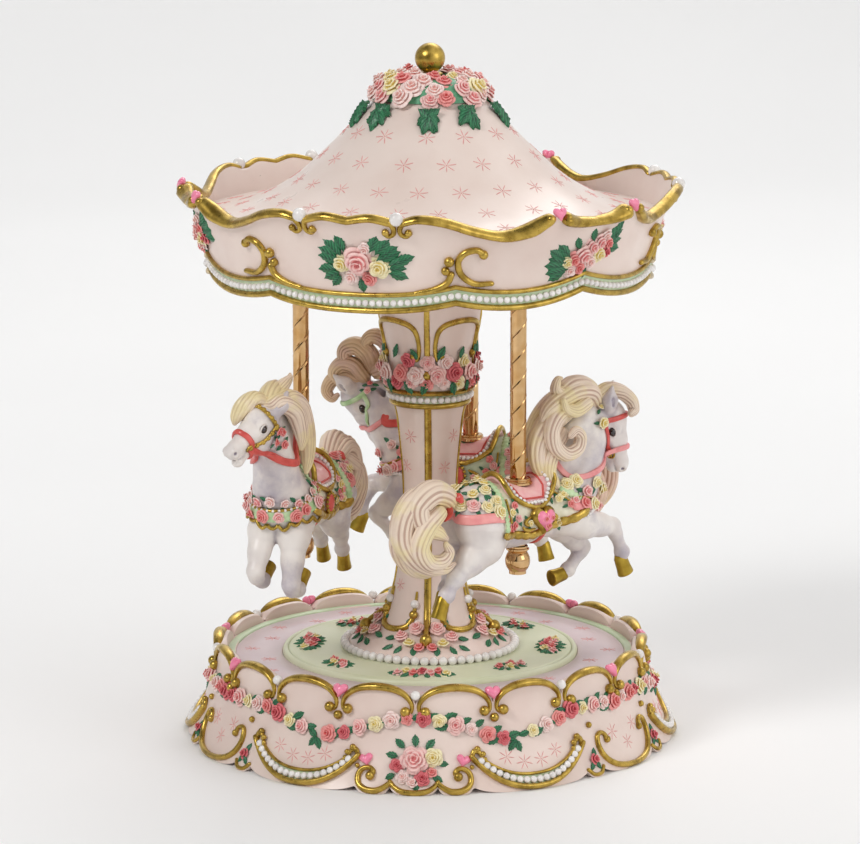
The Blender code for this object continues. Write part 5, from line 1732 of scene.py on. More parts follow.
MANES = (
    (  # near front: swept back with a spiral on its right side and a curl over the brow
        [(41, -1, 142, 3.0), (36, -2, 147.4, 3.7), (28, -2.6, 148.6, 4.0), (20, -2.6, 146, 3.8),
         (13.5, -3, 143, 3.2), (10.5, -3, 139.5, 1.6)],
        [(42, 0, 142, 3.4), (36, 0, 149, 3.8), (28, -1, 151, 3.8), (21.5, -1.5, 149, 3.0),
         (18, -2, 151, 2.1), (19, -2, 154.5, 1.4), (21, -2, 155, 0.7)],
        [(30, 0, 145, 4.4), (20, -1, 140, 4.6), (12.5, -1.5, 135, 4.2), (8.6, -2, 128, 3.9),
         (9.4, -3, 120, 3.4), (13.5, -4.5, 114.5, 2.2), (17.5, -5, 112, 0.9)],
        [(23, -3, 143, 3.4), (15.5, -5, 139.6, 3.4), (11.5, -7.4, 134.5, 3.0), (12.4, -8.8, 128.6, 2.9),
         (17.4, -9.8, 125.2, 2.7), (23, -10.2, 127, 2.5), (24.4, -10.4, 131.8, 2.2),
         (21.4, -10.8, 134.6, 1.8), (18.6, -11, 132.8, 1.2)],
        [(20, -3, 132, 3.2), (13.4, -5, 125, 3.1), (11, -6.4, 118.6, 2.7), (13.4, -7.6, 113, 1.9),
         (16.6, -8.2, 110, 0.8)],
        [(40, -1, 144, 3.2), (45, -3, 147.6, 3.0), (49.6, -6, 146.6, 2.8), (52.4, -9, 143.2, 2.5),
         (52.6, -10.6, 139.6, 2.1), (50.6, -11.4, 138.2, 1.4)],
        [(40, 2, 142, 3.0), (34, 5, 146, 3.6), (25, 6.5, 144, 3.8), (17, 6.5, 138, 3.6), (12, 6, 130, 3.2),
         (12, 6.5, 122, 2.6), (15, 7, 116, 1.2)],
        [(29, 6, 140, 3.2), (24, 8, 133, 3.0), (19, 9, 126, 2.6), (19.5, 9.5, 120, 1.8),
         (22, 9.5, 117, 0.8)],
        [(31, -6, 144, 2.6), (24, -7.4, 142, 2.6), (19, -7.6, 143.5, 1.9), (17.5, -7.4, 147, 1.1)],
    ),
    (  # back: tan curls standing off an arched neck
        [(47, 1, 139, 3.2), (51, 2, 143.5, 3.6), (56, 3, 144, 3.4), (59, 3.5, 140.5, 2.9),
         (57, 4, 137.5, 2.2), (54.6, 4, 139, 1.3)],
        [(50, 1, 137, 3.0), (55, 2, 139, 3.0), (60.5, 3, 137, 2.8), (62.5, 4, 132.5, 2.4),
         (60, 4.6, 129.5, 1.7), (57.6, 4.6, 131, 1.0)],
        [(42, 0, 143, 3.4), (45, 1, 149, 4.0), (50, 2, 152.2, 3.8), (54.6, 2.6, 150.4, 3.2),
         (54.6, 3, 146.4, 2.5), (51, 3, 145.6, 1.6)],
        [(35, 0, 144, 3.8), (34, 1, 151, 4.0), (38, 2, 156, 3.6), (43, 2.6, 156.6, 3.0),
         (45.4, 3, 153.4, 2.3), (43, 3, 151, 1.4)],
        [(40, 2, 142, 3.6), (33, 5, 145, 4.0), (26, 6.6, 142, 4.0), (20, 6.6, 136, 3.8), (17, 6.2, 129, 3.2),
         (18, 6.4, 122, 2.0), (21, 7, 118, 1.0)],
        [(40, -2, 142, 3.6), (33, -5, 145, 4.0), (26, -6.6, 142, 4.0), (20, -6.6, 136, 3.8),
         (17, -6.2, 129, 3.2), (18, -6.4, 122, 2.0), (21, -7, 118, 1.0)],
        [(38, 0, 144, 4.2), (30, 0, 147, 4.6), (22, 0, 143, 4.6), (15, 0, 136, 4.2), (12, 0, 128, 3.6),
         (13, -1, 119, 2.6), (17, -2, 114, 1.0)],
        [(27, 2, 147, 3.6), (21, 3, 150, 3.4), (15, 3, 149, 2.8), (12, 3, 145, 2.2), (14, 3, 142, 1.3)],
    ),
    (  # left: combed back, smooth, with small flicks
        [(43.5, 0, 144.5, 3.4), (39.5, 0, 150.0, 4), (32.5, 0, 152.0, 4.2), (25.5, 0, 148.0, 4.2),
         (20.5, 0, 140.5, 4), (15.9, 0, 130.6, 3.6), (15.6, 0, 119.5, 2.6), (18.0, 0, 114.0, 1)],
        [(41.5, 2, 147.5, 3.2), (35.5, 6, 149.5, 3.8), (29.0, 8.4, 146.0, 4), (24.0, 9.2, 138.3, 3.8),
         (20.7, 9.6, 129.5, 3.2), (21.1, 10, 121.7, 2.2), (23.7, 10.4, 117.3, 0.8)],
        [(43.5, 0, 147.5, 3), (40.5, 5, 149.0, 3.4), (35.5, 9, 145.5, 3.4), (31.8, 10.2, 139.4, 3),
         (29.4, 10.6, 132.8, 2.2), (30.0, 10.6, 128.4, 0.9)],
        [(41.5, -3, 146.5, 3.2), (35.5, -7, 147.5, 3.8), (29.5, -8, 142.5, 3.8), (24.1, -8.6, 133.9, 3.4),
         (22.3, -9.2, 125.0, 2.6), (23.9, -9.6, 118.4, 0.9)],
        [(42.5, -1, 148.5, 3.2), (46.0, -4, 150.5, 3.4), (48.5, -7.5, 148.0, 3.2), (49.1, -10, 144.0, 2.4),
         (47.9, -11.5, 141.0, 1)],
        [(35.5, 2, 151.5, 2.6), (31.0, 4, 155.0, 2.2), (28.0, 5, 157.1, 1.2), (27.5, 5, 158.5, 0.5)],
        [(29.5, 0, 150.5, 2.8), (24.5, 1, 153.5, 2.2), (21.5, 2, 155.1, 1.2), (20.5, 2, 156.5, 0.5)],
        [(21.5, 3, 142.5, 3), (14.8, 4, 137.2, 2.6), (10.7, 4.5, 131.7, 1.8), (8.7, 4.5, 131.7, 0.8)],
    ),
)


def station_band(horse, a, spread=0.0, count=28):
    """A loop round the head at station a along the face; spread slopes it towards the jaw."""
    turn = np.linspace(0.0, 2.0 * math.pi, count, endpoint=False)
    return [horse.head(a + spread * math.cos(t), 7.0 * math.cos(t), 7.0 * math.sin(t)) for t in turn]


class Cloth:
    """A sheet on the barrel: ends() back to front, -reach to reach in roll, lift(x, roll) off the skin."""

    def __init__(self, horse, reach, ends, lift, rows=61, columns=33, thick=0.9):
        self.horse, self.reach, self.ends, self.lift = horse, reach, ends, lift
        self.size = (rows, columns, thick)

    def at(self, along, across, more=0.0):
        """along 0 at the back edge to 1 at the front, across -1 to 1 from the near side to the far side."""
        back, front = self.ends(along, across)
        x = back + (front - back) * along
        roll = across * self.reach(along)
        return self.horse.roll(x, roll, self.lift(x, roll) + more)

    def make(self, shape):
        rows, columns, thick = self.size
        top = np.zeros((rows, columns, 3))
        foot = np.zeros((rows, columns, 3))
        for i, across in enumerate(np.linspace(-1.0, 1.0, rows)):
            for j, along in enumerate(np.linspace(0.0, 1.0, columns)):
                point, normal = self.at(along, across)
                top[i, j] = point
                foot[i, j] = point - normal * (thick + 0.4)
        for _ in range(2):
            for layer in (top, foot):
                total = layer[1:-1, 1:-1] * 4 + layer[:-2, 1:-1] + layer[2:, 1:-1]
                layer[1:-1, 1:-1] = (total + layer[1:-1, :-2] + layer[1:-1, 2:]) / 8
        faces = [face[::-1] for face in shell_faces(rows, columns)]
        shape.add(np.concatenate([top.reshape(-1, 3), foot.reshape(-1, 3)]), faces)

    def edge(self, inset, more, steps=40):
        """A closed path inside the border by a share inset, with its normals."""
        low, high = inset, 1.0 - inset
        far = 1.0 - 1.4 * inset
        spots = [(a, -far) for a in np.linspace(low, high, steps)]
        spots += [(high, c) for c in np.linspace(-far, far, 2 * steps)[1:]]
        spots += [(a, far) for a in np.linspace(high, low, steps)[1:]]
        spots += [(low, c) for c in np.linspace(far, -far, 2 * steps)[1:-1]]
        pairs = [self.at(a, c, more) for a, c in spots]
        return np.array([p for p, _ in pairs]), np.array([n for _, n in pairs])


def even(path, spacing, closed=True):
    """Points along a path at an even spacing."""
    ring = np.concatenate([path, path[:1]]) if closed else path
    length = np.concatenate([[0.0], np.cumsum(np.linalg.norm(np.diff(ring, axis=0), axis=1))])
    count = max(int(length[-1] / spacing), 2)
    marks = np.linspace(0.0, length[-1], count, endpoint=not closed)
    return np.stack([np.interp(marks, length, ring[:, k]) for k in range(ring.shape[1])], axis=-1)


def bump(x, low, high):
    share = np.clip((x - low) / (high - low), 0.0, 1.0)
    return float(share * share * (3.0 - 2.0 * share))


def make_saddle(horse, gold, pearls, red, seat_mat):
    """A shield-shaped seat with raised ends, a gold rim, a row of pearls and red piping."""
    knots = np.array([(0, -14.0, 13.0), (25, -13.2, 12.6), (42, -11.5, 10.0), (58, -6.0, 6.2),
                      (68, -1.2, 2.6)])

    def ends(along, across):
        roll = abs(across) * 68.0
        back, front = (float(np.interp(roll, knots[:, 0], knots[:, k])) for k in (1, 2))
        return back, front

    def lift(x, roll):
        top = math.exp(-((roll / 34.0) ** 2))
        rise = 4.6 * bump(x, 6.0, 12.5) + 3.6 * bump(-x, 7.5, 16.0)
        return 1.5 + top * rise - 0.9 * math.exp(-((x / 6.5) ** 2)) * top

    cloth = Cloth(horse, lambda along: 68.0, ends, lift, rows=57, columns=27, thick=1.5)
    seat = Shape()
    cloth.make(seat)
    horse.finish(seat, "seat", seat_mat, "horse_resin")
    path, normals = cloth.edge(0.0, 0.2)
    tube(gold, path, 1.05, normals, wide=1.0, tall=1.1, sides=12, closed=True)
    path, _ = cloth.edge(0.10, 0.5)
    for point in even(path, 1.95):
        ball(pearls, point, 0.92, 12)
    path, normals = cloth.edge(0.19, 0.25)
    tube(red, path, 0.42, normals, sides=8, closed=True)
    return cloth


def make_blanket(horse, gold, piping, mat):
    """The cloth under the saddle, with a piped hem and a gold scalloped frill along its foot."""
    hem = np.array([(0.0, 104.0), (0.12, 112.0), (0.4, 120.0), (0.7, 108.0), (0.88, 95.0), (1.0, 86.0)])

    def ends(along, across):
        low = abs(across)
        return -17.5 - 1.5 * low, 15.0 + 9.5 * bump(low, 0.35, 0.95)

    def reach(along):
        return float(np.interp(along, hem[:, 0], hem[:, 1]))

    cloth = Cloth(horse, reach, ends, lambda x, roll: 0.75, rows=81, columns=37, thick=0.7)
    sheet = Shape()
    cloth.make(sheet)
    horse.finish(sheet, "blanket", mat, "horse_resin")
    path, normals = cloth.edge(0.035, 0.15)
    tube(piping, path, 0.45, normals, sides=8, closed=True)
    for side in (-1, 1):
        along = np.linspace(0.0, 1.0, 90)
        pairs = [cloth.at(a, side, 0.5) for a in along]
        points = np.array([p for p, _ in pairs])
        normals = np.array([n for _, n in pairs])
        frill = 1.25 + 0.35 * np.abs(np.sin(along * math.pi * 11.0))
        tube(gold, points, frill, normals, wide=1.25, tall=0.75, sides=14)
        for inset, drop in ((0.10, 0.80), (0.90, 0.80)):
            pairs = [cloth.at(inset, side * c, 0.5) for c in np.linspace(0.42, drop, 24)]
            tube(gold, np.array([p for p, _ in pairs]), 0.5, np.array([n for _, n in pairs]), sides=8)
    return cloth


def add_bow(shape, centre, normal, up, size):
    """A ribbon's knot with two puffed loops and two tails."""
    side, rise, out = basis(normal, up)

    def spot(a, b, c, radius):
        return (*(np.asarray(centre) + (side * a + rise * b + out * c) * size), radius * size)

    for way in (-1, 1):
        loop = smooth_path([spot(0, 0, 0.15, 0.12), spot(way * 0.45, 0.22, 0.35, 0.32),
                            spot(way * 0.95, 0.34, 0.35, 0.38),
                            spot(way * 1.25, 0.2, 0.2, 0.2)], 6)
        tube(shape, loop[:, :3], loop[:, 3], out, wide=1.15, tall=0.8, sides=24, strands=4, depth=0.22)
        tail = smooth_path([spot(0, 0, 0.1, 0.14), spot(way * 0.3, -0.5, 0.3, 0.24),
                            spot(way * 0.75, -1.0, 0.1, 0.3),
                            spot(way * 0.7, -1.55, 0.15, 0.26)], 6)
        tube(shape, tail[:, :3], tail[:, 3], out, wide=1.1, tall=0.42, sides=18, strands=3, depth=0.2)
    ball(shape, np.asarray(centre) + out * 0.3 * size, 0.3 * size, 14)


def add_beads(shape, horse, controls, spacing, radius, lift=0.3, closed=False):
    points, _ = horse.near(smooth_path(controls, 8, closed)[:, :3], lift)
    for point in even(points, spacing, closed):
        ball(shape, point, radius, 10)


def head_spots(horse, spots):
    return [horse.head(*spot) for spot in spots]


def add_bridle(horse, bridle, nose, gold, studs):
    """Browband, cheek straps and noseband; studs puts gold beads on the browband and cheeks."""
    brow = head_spots(horse, [(1.5, -3, -5.4), (2.5, 2, -5.4), (2.5, 6.5, 0), (2.5, 2, 5.4), (1.5, -3, 5.4)])
    horse.strap(bridle, brow, 0.62 if studs else 0.78, lift=0.6, wide=1.4, tall=0.75)
    if studs:
        add_beads(gold, horse, brow, 2.1, 1.0, 0.8)
    for side in (-1, 1):
        cheek = head_spots(horse, [(2.5, -1.5, side * 5.5), (9, -2.2, side * 5.4), (17, -1.5, side * 3.8)])
        horse.strap(bridle, cheek, 0.62 if studs else 0.78, lift=0.6, wide=1.3, tall=0.75)
        if studs:
            add_beads(gold, horse, cheek, 2.1, 1.0, 0.8)
        ring, normal = horse.near(horse.head(17.5, -1.4, side * 3.8), 0.7)
        turn = np.linspace(0.0, 2.0 * math.pi, 20, endpoint=False)[:, None]
        axes = basis(normal[0], UP)
        tube(gold, ring[0] + 1.5 * (np.cos(turn) * axes[0] + np.sin(turn) * axes[1]), 0.42, normal[0],
             sides=8, closed=True)
        ball(gold, ring[0] + normal[0] * 0.2, 0.8, 12)
    loop = station_band(horse, 17.0)
    horse.strap(nose, loop, 0.85, lift=0.45, wide=1.4, tall=0.8, steps=3, closed=True)


def add_sash(horse, shape, controls, radius=1.5):
    """A folded strap of three rolls of cloth from the neck to the muzzle, the same on both sides."""
    for side in (-1, 1):
        path = [(x, side * abs(y), z) for x, y, z in controls]
        path += head_spots(horse, [(13.0, -5.6, side * 2.2), (17.0, -2.0, side * 3.8)])
        horse.strap(shape, path, radius, lift=0.4, wide=1.2, tall=0.8, sides=30, strands=4, depth=0.25)


def add_breast_band(horse, band, gold, pearls, flowers, colours, scallops):
    """The band round the chest, edged with gold scallops or a pearl string, with roses along it."""
    half = [(20, 10.5, 103.4), (25, 9.6, 103), (29.5, 7.4, 102.6), (33, 4.4, 102), (35.4, 0, 101.5)]
    path = [(x, -y, z) for x, y, z in half] + [(x, y, z) for x, y, z in half[-2::-1]]
    horse.strap(band, path, 2.2, lift=1.1, wide=1.4, tall=0.55, sides=30, strands=3, depth=0.25)
    low = [(x, y, z - 3.6) for x, y, z in path]
    high = [(x, y, z + 2.9) for x, y, z in path]
    track, normals = horse.near(smooth_path(low, 10)[:, :3], 1.2, smooth=2)
    if scallops:
        wave = np.abs(np.sin(np.linspace(0.0, 9.0 * math.pi, len(track))))
        track = track - np.stack([0 * wave, 0 * wave, 2.2 * wave], axis=-1)
        track, normals = horse.near(track, 1.1)
        tube(gold, track, 0.75, normals, sides=10)
        horse.strap(gold, high, 0.65, lift=1.3)
        add_beads(pearls, horse, high, 2.3, 0.7, 1.5)
    else:
        horse.strap(gold, high, 0.5, lift=1.3)
        add_beads(pearls, horse, low, 1.75, 0.9, 1.2)
    for number, (x, y, z) in enumerate(smooth_path(path, 2)[1:-1:2]):
        colour = colours[number % len(colours)]
        point, normal = horse.near((x, y, z), 2.2)
        flowers.rose(colour, point[0], normal[0], 2.5 + 0.4 * (number % 2))


def add_neck_wreath(horse, flowers, colours, radius, count=15):
    """Roses and leaves round the foot of the neck."""
    ring = [(18, -8.5, 113), (25, -8.9, 110.5), (31, -7.4, 110.0), (35, -3.8, 110.5), (36.3, 0, 111),
            (35, 3.8, 110.5), (31, 7.4, 110.0), (25, 8.9, 110.5), (18, 8.5, 113)]
    track = smooth_path(ring, 8)
    points, _ = horse.near(even(track[:, :3], 60.0 / count, closed=False), 0.9)
    for number, point in enumerate(points):
        rise = (1.9 if number % 2 else -1.6) if horse.label < 3 else -3.4
        spot, facing = horse.near(point + np.array([0, 0, rise]), 0.8)
        flowers.rose(colours[number % len(colours)], spot[0], facing[0], radius * RNG.uniform(0.85, 1.12))
        for turn in (-60.0, 200.0):
            if (number + int(turn)) % 3:
                toward = heading(facing[0], turn + RNG.uniform(-25.0, 25.0))
                flowers.leaf(spot[0] - facing[0] * 0.7 + toward * radius * 0.55, facing[0], toward, 3.4)


def add_garland_patch(horse, flowers, spots, colours, radius):
    """Roses and leaves over listed (x, y, z) spots, on both sides."""
    for side in (-1, 1):
        for number, (x, y, z) in enumerate(spots):
            spot, facing = horse.near((x, side * y, z), 0.7)
            flowers.rose(colours[number % len(colours)], spot[0], facing[0],
                         radius * RNG.uniform(0.85, 1.15))
            for turn in (40.0, 170.0, 290.0):
                toward = heading(facing[0], turn + RNG.uniform(-35.0, 35.0))
                flowers.leaf(spot[0] - facing[0] * 0.8 + toward * radius * 0.6, facing[0], toward, 3.3)


def add_medallion(horse, gold, heart, flowers, centre, kind):
    """The jewel on the blanket's side with gold scrolls before and behind it."""
    x, roll = centre
    for side in (-1, 1):
        point, normal = horse.roll(x, side * roll, 1.7)
        if kind == "heart":
            put(gold, HEART_SHAPE, point, normal, UP, 6.4)
            put(heart, HEART_SHAPE, point + normal * 1.6, normal, UP, 5.1)
            axes = basis(normal, UP)
            for across, up in ((-1.7, 1.0), (1.7, 1.0), (0.0, -1.9)):
                flowers.rose("coral", point + normal * 3.4 + axes[0] * across + axes[1] * up, normal, 1.7)
        else:
            axes = basis(normal, UP)
            turn = np.linspace(0.0, 2.0 * math.pi, 28, endpoint=False)[:, None]
            rim = point + 3.2 * np.cos(turn) * axes[0] + 4.3 * np.sin(turn) * axes[1]
            put(heart, OVAL, point, normal, UP, 3.6)
            for bead in even(rim, 1.75):
                ball(gold, bead + normal * 0.3, 0.8, 10)
        for scroll in (((4.6, 10), (7.0, 6), (8.6, 0), (7.6, -5), (5.6, -4), (5.8, -1)),
                       ((3.8, -14), (6.6, -15), (9.0, -12), (9.6, -8.5))):
            for way in (1, -1):
                pairs = [horse.roll(x + way * dx, side * (roll - droll), 1.6) for dx, droll in scroll]
                track = smooth_path([p for p, _ in pairs], 6)
                facing = unit(smooth_path([n for _, n in pairs], 6))
                swell = 0.45 + 0.35 * np.sin(np.linspace(0.0, math.pi, len(track)))
                tube(gold, track, swell, facing, sides=10)


def oval_template():
    shape = Shape()
    ball(shape, (0, 0, 0), 1.0, 24, (0.8, 1.1, 0.45))
    return shape.points[0], shape.faces, np.ones(shape.count)


OVAL = oval_template()
# roses behind the saddle and beside it: x, away from the middle, z
RUMP = ((-20, 9.4, 110), (-24.5, 9.4, 107.5), (-21, 11.0, 105), (-29, 7.2, 108.5), (-32, 3.6, 109),
        (-22, 6.0, 114.5), (-27, 4.6, 112.5), (-19.5, 2.0, 116.0))
FLANK = ((15.5, 9.6, 108.5), (20.0, 9.4, 105.0), (-15.0, 11.6, 99.0), (12.0, 11.4, 98.0))
# roses on the blanket: share along it, share down its side, radius
BLANKET_SPOTS = ((0.20, 0.50, 1.7), (0.13, 0.62, 1.9), (0.22, 0.72, 1.6), (0.14, 0.84, 1.7),
                 (0.86, 0.60, 1.9), (0.80, 0.46, 1.6), (0.88, 0.76, 1.6), (0.34, 0.80, 1.5))
# What each horse wears. Lists of colours repeat along their roses; face roses are placed in Head's a, f, s.
OUTFITS = (
    {
        "hair": BLOND, "blanket": CLOTH, "jewel": "heart", "jewel_paint": HEART,
        "piping": "red", "bridle": "red", "noseband": "strap", "studs": False,
        "sash": "strap", "sash_radius": 1.2,
        "sash_path": ((12, 6, 124), (19, 9, 117), (26, 9.5, 114.5), (33, 9, 116), (40, 7, 119)),
        "band": "strap", "band_roses": ("coral", "cream", "pink"), "scallops": False,
        "wreath": ("cream", "cream", "pink", "cream"), "wreath_radius": 2.9,
        "rump": ("cream", "cream", "cream", "pink", "cream"), "flank": ("cream", "pink", "coral"),
        "blanket_roses": ("coral", "cream", "pink"),
        "face_roses": (("cream", 1.8, -3.0, 5.6, 2.5), ("coral", -1.6, -5.4, 5.6, 1.5),
                       ("cream", -2.4, -2.2, 5.6, 1.4)),
    },
    {
        "hair": TAN, "blanket": BLANKET, "jewel": "oval", "jewel_paint": RED,
        "piping": "red", "bridle": "mint", "noseband": "strap", "studs": False,
        "sash": "red", "sash_radius": 1.7,
        "sash_path": ((24, 9, 124), (30, 8, 121), (36, 6, 120)),
        "band": "strap", "band_roses": ("pink", "coral", "blush"), "scallops": False,
        "wreath": ("pink", "blush", "coral"), "wreath_radius": 2.7,
        "rump": ("pink", "coral", "pink"), "flank": ("pink", "coral", "pink"),
        "blanket_roses": ("coral", "pink", "coral"),
        "face_roses": (("pink", 1.6, -3.4, 5.4, 1.7), ("coral", -1.4, -5.2, 5.2, 1.4)),
    },
    {
        "hair": BLOND, "blanket": CLOTH, "jewel": "oval", "jewel_paint": RED,
        "piping": "mint", "bridle": "gold", "noseband": "red", "studs": True,
        "sash": "red", "sash_radius": 1.6,
        "sash_path": ((22, 9, 135), (25, 9, 129), (29, 8.4, 124.5), (34, 7, 123)),
        "band": "mint", "band_roses": ("coral", "pink", "coral"), "scallops": True,
        "wreath": ("blush", "pink", "blush"), "wreath_radius": 2.3,
        "rump": ("pink", "cream", "coral"), "flank": ("coral", "pink", "cream"),
        "blanket_roses": ("pink", "cream", "coral"),
        "face_roses": (("coral", 1.8, -3.6, 5.6, 2.1), ("coral", 5.0, -6.4, 5.2, 1.9),
                       ("coral", -1.2, -6.0, 5.6, 2.0), ("coral", 1.4, -9.4, 5.2, 1.9)),
    },
)


def add_blanket_roses(blanket, flowers, colours):
    for side in (-1, 1):
        for number, (along, down, radius) in enumerate(BLANKET_SPOTS):
            point, normal = blanket.at(along, side * down, 1.0)
            flowers.rose(colours[number % 3], point, normal, radius)
            for turn in (number * 77.0, number * 77.0 + 150.0):
                toward = heading(normal, turn)
                flowers.leaf(point - normal * 0.5 + toward * 1.1, normal, toward, 2.6)


def add_crupper(horse, strap, red):
    """The strap round the rump, the girth under the belly and the bow on the tail's root."""
    half = [(-16.5, 11.0, 103), (-24, 11.4, 103.5), (-30.5, 8.6, 104), (-34, 4.4, 104.5), (-35.2, 0, 105)]
    path = [(x, -y, z) for x, y, z in half] + [(x, y, z) for x, y, z in half[-2::-1]]
    horse.strap(strap, path, 1.8, lift=0.3, wide=1.3, tall=0.6, sides=30, strands=3, depth=0.25)
    girth = [horse.roll(6.0, angle)[0] for angle in range(100, 261, 16)]
    horse.strap(red, girth, 1.2, lift=0.3, wide=1.4, tall=0.6, sides=20, strands=2, depth=0.2)
    add_bow(red, (-34.5, 0, 110.5), (-0.75, 0.0, 0.65), UP, 5.2)


def add_face_roses(horse, flowers, roses):
    for side in (-1, 1):
        for colour, a, f, s, radius in roses:
            point, normal = horse.near(horse.head(a, f, side * s), 1.3)
            flowers.rose(colour, point[0], normal[0], radius)
            for turn in (70.0, 250.0):
                toward = heading(normal[0], turn + RNG.uniform(-30.0, 30.0))
                flowers.leaf(point[0] - normal[0] * 0.8 + toward * 1.0, normal[0], toward, 2.8)


def add_ruffles(blanket, shape):
    """Green ruffles along the blanket's back and front edges."""
    for along in (0.02, 0.98):
        ruffle = [blanket.at(along, across, 0.35) for across in np.linspace(-0.93, 0.93, 90)]
        facing = np.array([n for _, n in ruffle])
        wave = 1.0 + 0.28 * np.sin(np.linspace(0.0, 52.0 * math.pi, 90))
        tube(shape, np.array([p for p, _ in ruffle]), 1.15 * wave, facing, wide=1.3, tall=0.6, sides=12)


def dress(horse, outfit, shapes, flowers):
    gold, pearls, red, strap = (shapes[name] for name in ("gold", "pearls", "red", "strap"))
    blanket = make_blanket(horse, gold, shapes[outfit["piping"]], outfit["blanket"])
    make_saddle(horse, gold, pearls, red, SEAT)
    add_bridle(horse, shapes[outfit["bridle"]], shapes[outfit["noseband"]], gold, outfit["studs"])
    add_sash(horse, shapes[outfit["sash"]], outfit["sash_path"], outfit["sash_radius"])
    add_breast_band(horse, shapes[outfit["band"]], gold, pearls, flowers, outfit["band_roses"],
                    outfit["scallops"])
    add_neck_wreath(horse, flowers, outfit["wreath"], outfit["wreath_radius"])
    add_garland_patch(horse, flowers, RUMP, outfit["rump"], 2.9)
    add_garland_patch(horse, flowers, FLANK, outfit["flank"], 2.4)
    add_medallion(horse, gold, shapes["heart"], flowers, (2.0, 92.0), outfit["jewel"])
    add_blanket_roses(blanket, flowers, outfit["blanket_roses"])
    add_crupper(horse, strap, red)
    add_face_roses(horse, flowers, outfit["face_roses"])
    add_ruffles(blanket, shapes["mint"])


def make_horse(number):
    horse, outfit = Horse(number, *HORSE_POSES[number]), OUTFITS[number]
    hooves, eyes, lids, hair = (Shape() for _ in range(4))
    shapes = {name: Shape() for name in ("gold", "pearls", "red", "strap", "mint", "heart")}
    flowers = Flowers()
    add_hooves(horse, hooves)
    add_eyes(horse, eyes, lids)
    add_locks(hair, TAIL)
    add_locks(hair, MANES[number])
    dress(horse, outfit, shapes, flowers)
    horse.finish(hooves, "hooves", HOOF, "gold_paint", flat_angle=40.0)
    horse.finish(eyes, "eyes", EYE, "horse_resin")
    horse.finish(lids, "eyelids", IVORY, "horse_resin")
    horse.finish(hair, "hair", outfit["hair"], "horse_resin", flat_angle=180.0)
    for name, mat, slot in (("gold", GOLD, "gold_paint"), ("pearls", PEARL, "pearl"),
                            ("red", RED, "rose_resin"), ("strap", CORAL_STRAP, "rose_resin"),
                            ("mint", LIME, "leaf_resin"),
                            ("heart", outfit["jewel_paint"], "pink_enamel")):
        horse.finish(shapes[name], f"harness_{name}", mat, slot)
    flowers.finish(f"horse_{horse.label}", horse.body, horse.seat)


# ---------------------------------------------------------------- kept CAD pieces
def repaint(mat, *nodes):
    for node in nodes:
        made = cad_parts[node]
        made.data.materials.clear()
        made.data.materials.append(mat)
        made.data.shade_smooth()
        made.data.set_sharp_from_angle(angle=math.radians(35.0))


make_base()
make_canopy()
for number in range(3):
    make_pole(number)
    make_horse(number)
repaint(BOARD, "bottom_plate")
repaint(NYLON, "cam_drum", "canopy_hub", "cam_follower_1", "cam_follower_2", "cam_follower_3")
repaint(ROOF, "soffit_plate")
repaint(STEEL, "bottom_plate_screw_1", "bottom_plate_screw_2", "bottom_plate_screw_3", "movement_bedplate",
        "movement_screw_1", "movement_screw_2", "cylinder_bracket_inner", "cylinder_bracket_outer", "comb",
        "governor_bracket", "governor_worm", "drive_spindle", "hub_nut", "winding_arbor")
repaint(BRASS, "comb_block", "governor_fly", "spring_barrel", "pinned_cylinder", "cylinder_pinion",
        "cylinder_wheel", "winding_key", "spindle_bush_lower", "spindle_bush_upper", "pole_bush_1",
        "pole_bush_2", "pole_bush_3")


# ---------------------------------------------------------------- stage
def make_floor():
    """A pale sweep that turns up behind the carousel."""
    half, back, bend = 3.2, 2.6, 0.9
    turn = np.linspace(0.0, math.pi / 2, 14)
    profile = [(-2.4, 0.0), *zip(back - bend + bend * np.sin(turn), bend - bend * np.cos(turn)), (back, 3.2)]
    points = [(x, y, z) for y, z in profile for x in (-half, half)]
    faces = [(2 * k, 2 * k + 1, 2 * k + 3, 2 * k + 2) for k in range(len(profile) - 1)]
    mesh = bpy.data.meshes.new("backdrop")
    mesh.from_pydata(points, [], faces)
    mesh.shade_smooth()
    paint = Paint("paper", 0.85)
    paint.colour(paint.ramp(paint.noise(1.4, 2.0), [(0.3, srgb("F3F3F3")), (0.7, srgb("F7F7F7"))]))
    mesh.materials.append(paint.made)
    made = bpy.data.objects.new("backdrop", mesh)
    bpy.context.scene.collection.objects.link(made)
    made.rotation_euler = (0.0, 0.0, math.radians(3.7))


def lamp(name, place, target, size, power, colour=(1.0, 1.0, 1.0)):
    light = bpy.data.lights.new(name, "AREA")
    light.shape = "RECTANGLE"
    light.size, light.size_y = size
    light.energy = power
    light.color = colour
    made = bpy.data.objects.new(name, light)
    bpy.context.scene.collection.objects.link(made)
    made.location = place
    made.rotation_euler = (Vector(target) - Vector(place)).to_track_quat("-Z", "Y").to_euler()


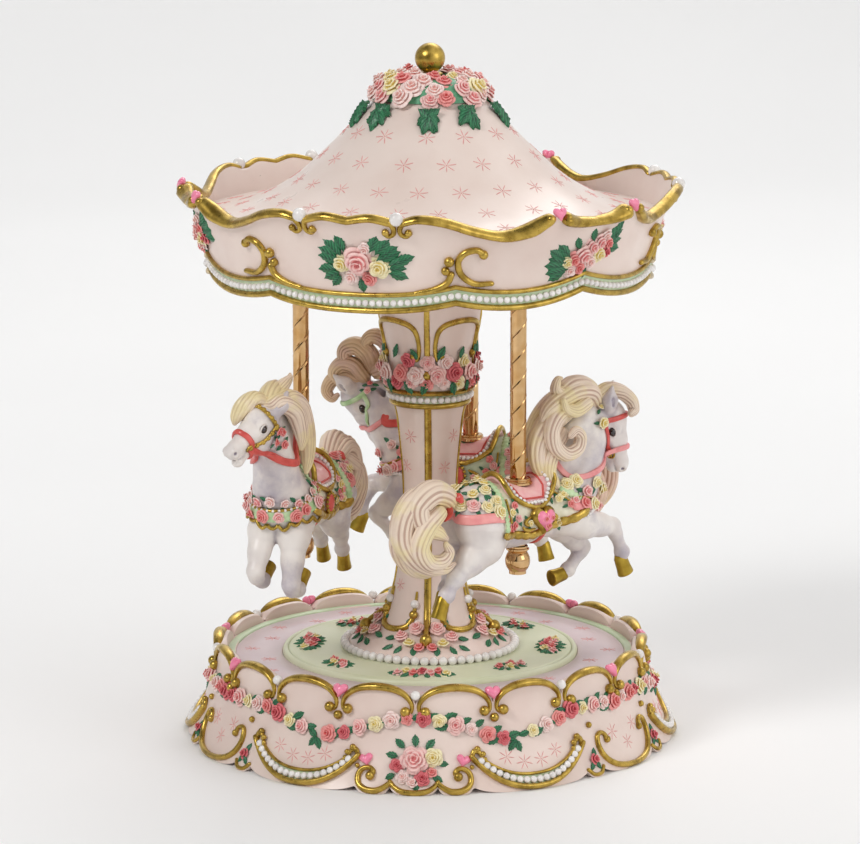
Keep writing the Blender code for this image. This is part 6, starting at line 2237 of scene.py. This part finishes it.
make_floor()
lamp("key_light", (-1.0, -1.1, 1.35), (0, 0, 0.15), (0.6, 0.6), 15.0)
lamp("fill_light", (1.4, -0.9, 0.8), (0, 0, 0.15), (0.9, 0.9), 4.5)
lamp("back_light", (0.3, 1.3, 1.3), (0, 0, 0.2), (1.0, 0.6), 5.0)
lamp("sweep_light", (0.0, 1.7, 2.3), (0, 2.2, 0.0), (3.0, 1.6), 17.0)

world = bpy.data.worlds.new("studio")
bpy.context.scene.world = world
world.use_nodes = True
nodes, links = world.node_tree.nodes, world.node_tree.links
sides = nodes.new("ShaderNodeSeparateXYZ")
links.new(nodes.new("ShaderNodeTexCoord").outputs["Generated"], sides.inputs[0])
room = nodes.new("ShaderNodeValToRGB")
room.color_ramp.elements[0].position = 0.0
room.color_ramp.elements[0].color = (0.40, 0.39, 0.385, 1.0)
room.color_ramp.elements[1].position = 1.0
room.color_ramp.elements[1].color = (0.97, 0.965, 0.96, 1.0)
for where, value in ((0.12, 0.36), (0.26, 0.05), (0.44, 0.06), (0.54, 0.75), (0.72, 1.0)):
    room.color_ramp.elements.new(where).color = (value, value * 0.985, value * 0.97, 1.0)
shift = nodes.new("ShaderNodeMath")
shift.operation = "MULTIPLY_ADD"
shift.inputs[1].default_value = 0.5
shift.inputs[2].default_value = 0.5
links.new(sides.outputs["X"], shift.inputs[0])
links.new(shift.outputs[0], room.inputs["Fac"])
links.new(room.outputs["Color"], nodes["Background"].inputs["Color"])
nodes["Background"].inputs["Strength"].default_value = 0.85

bpy.context.scene.view_settings.view_transform = "Standard"

VIEW_TURN = math.radians(3.7)
DISTANCE = 1.756
camera = bpy.data.cameras.new("camera")
camera.sensor_width = 36.0
camera.lens = 180.9
camera.clip_start = 0.05
made = bpy.data.objects.new("camera", camera)
bpy.context.scene.collection.objects.link(made)
made.location = (DISTANCE * math.sin(VIEW_TURN), -DISTANCE * math.cos(VIEW_TURN), 0.472)
made.rotation_euler = (Vector((0, 0, 0.1312)) - made.location).to_track_quat("-Z", "Y").to_euler()
bpy.context.scene.camera = made
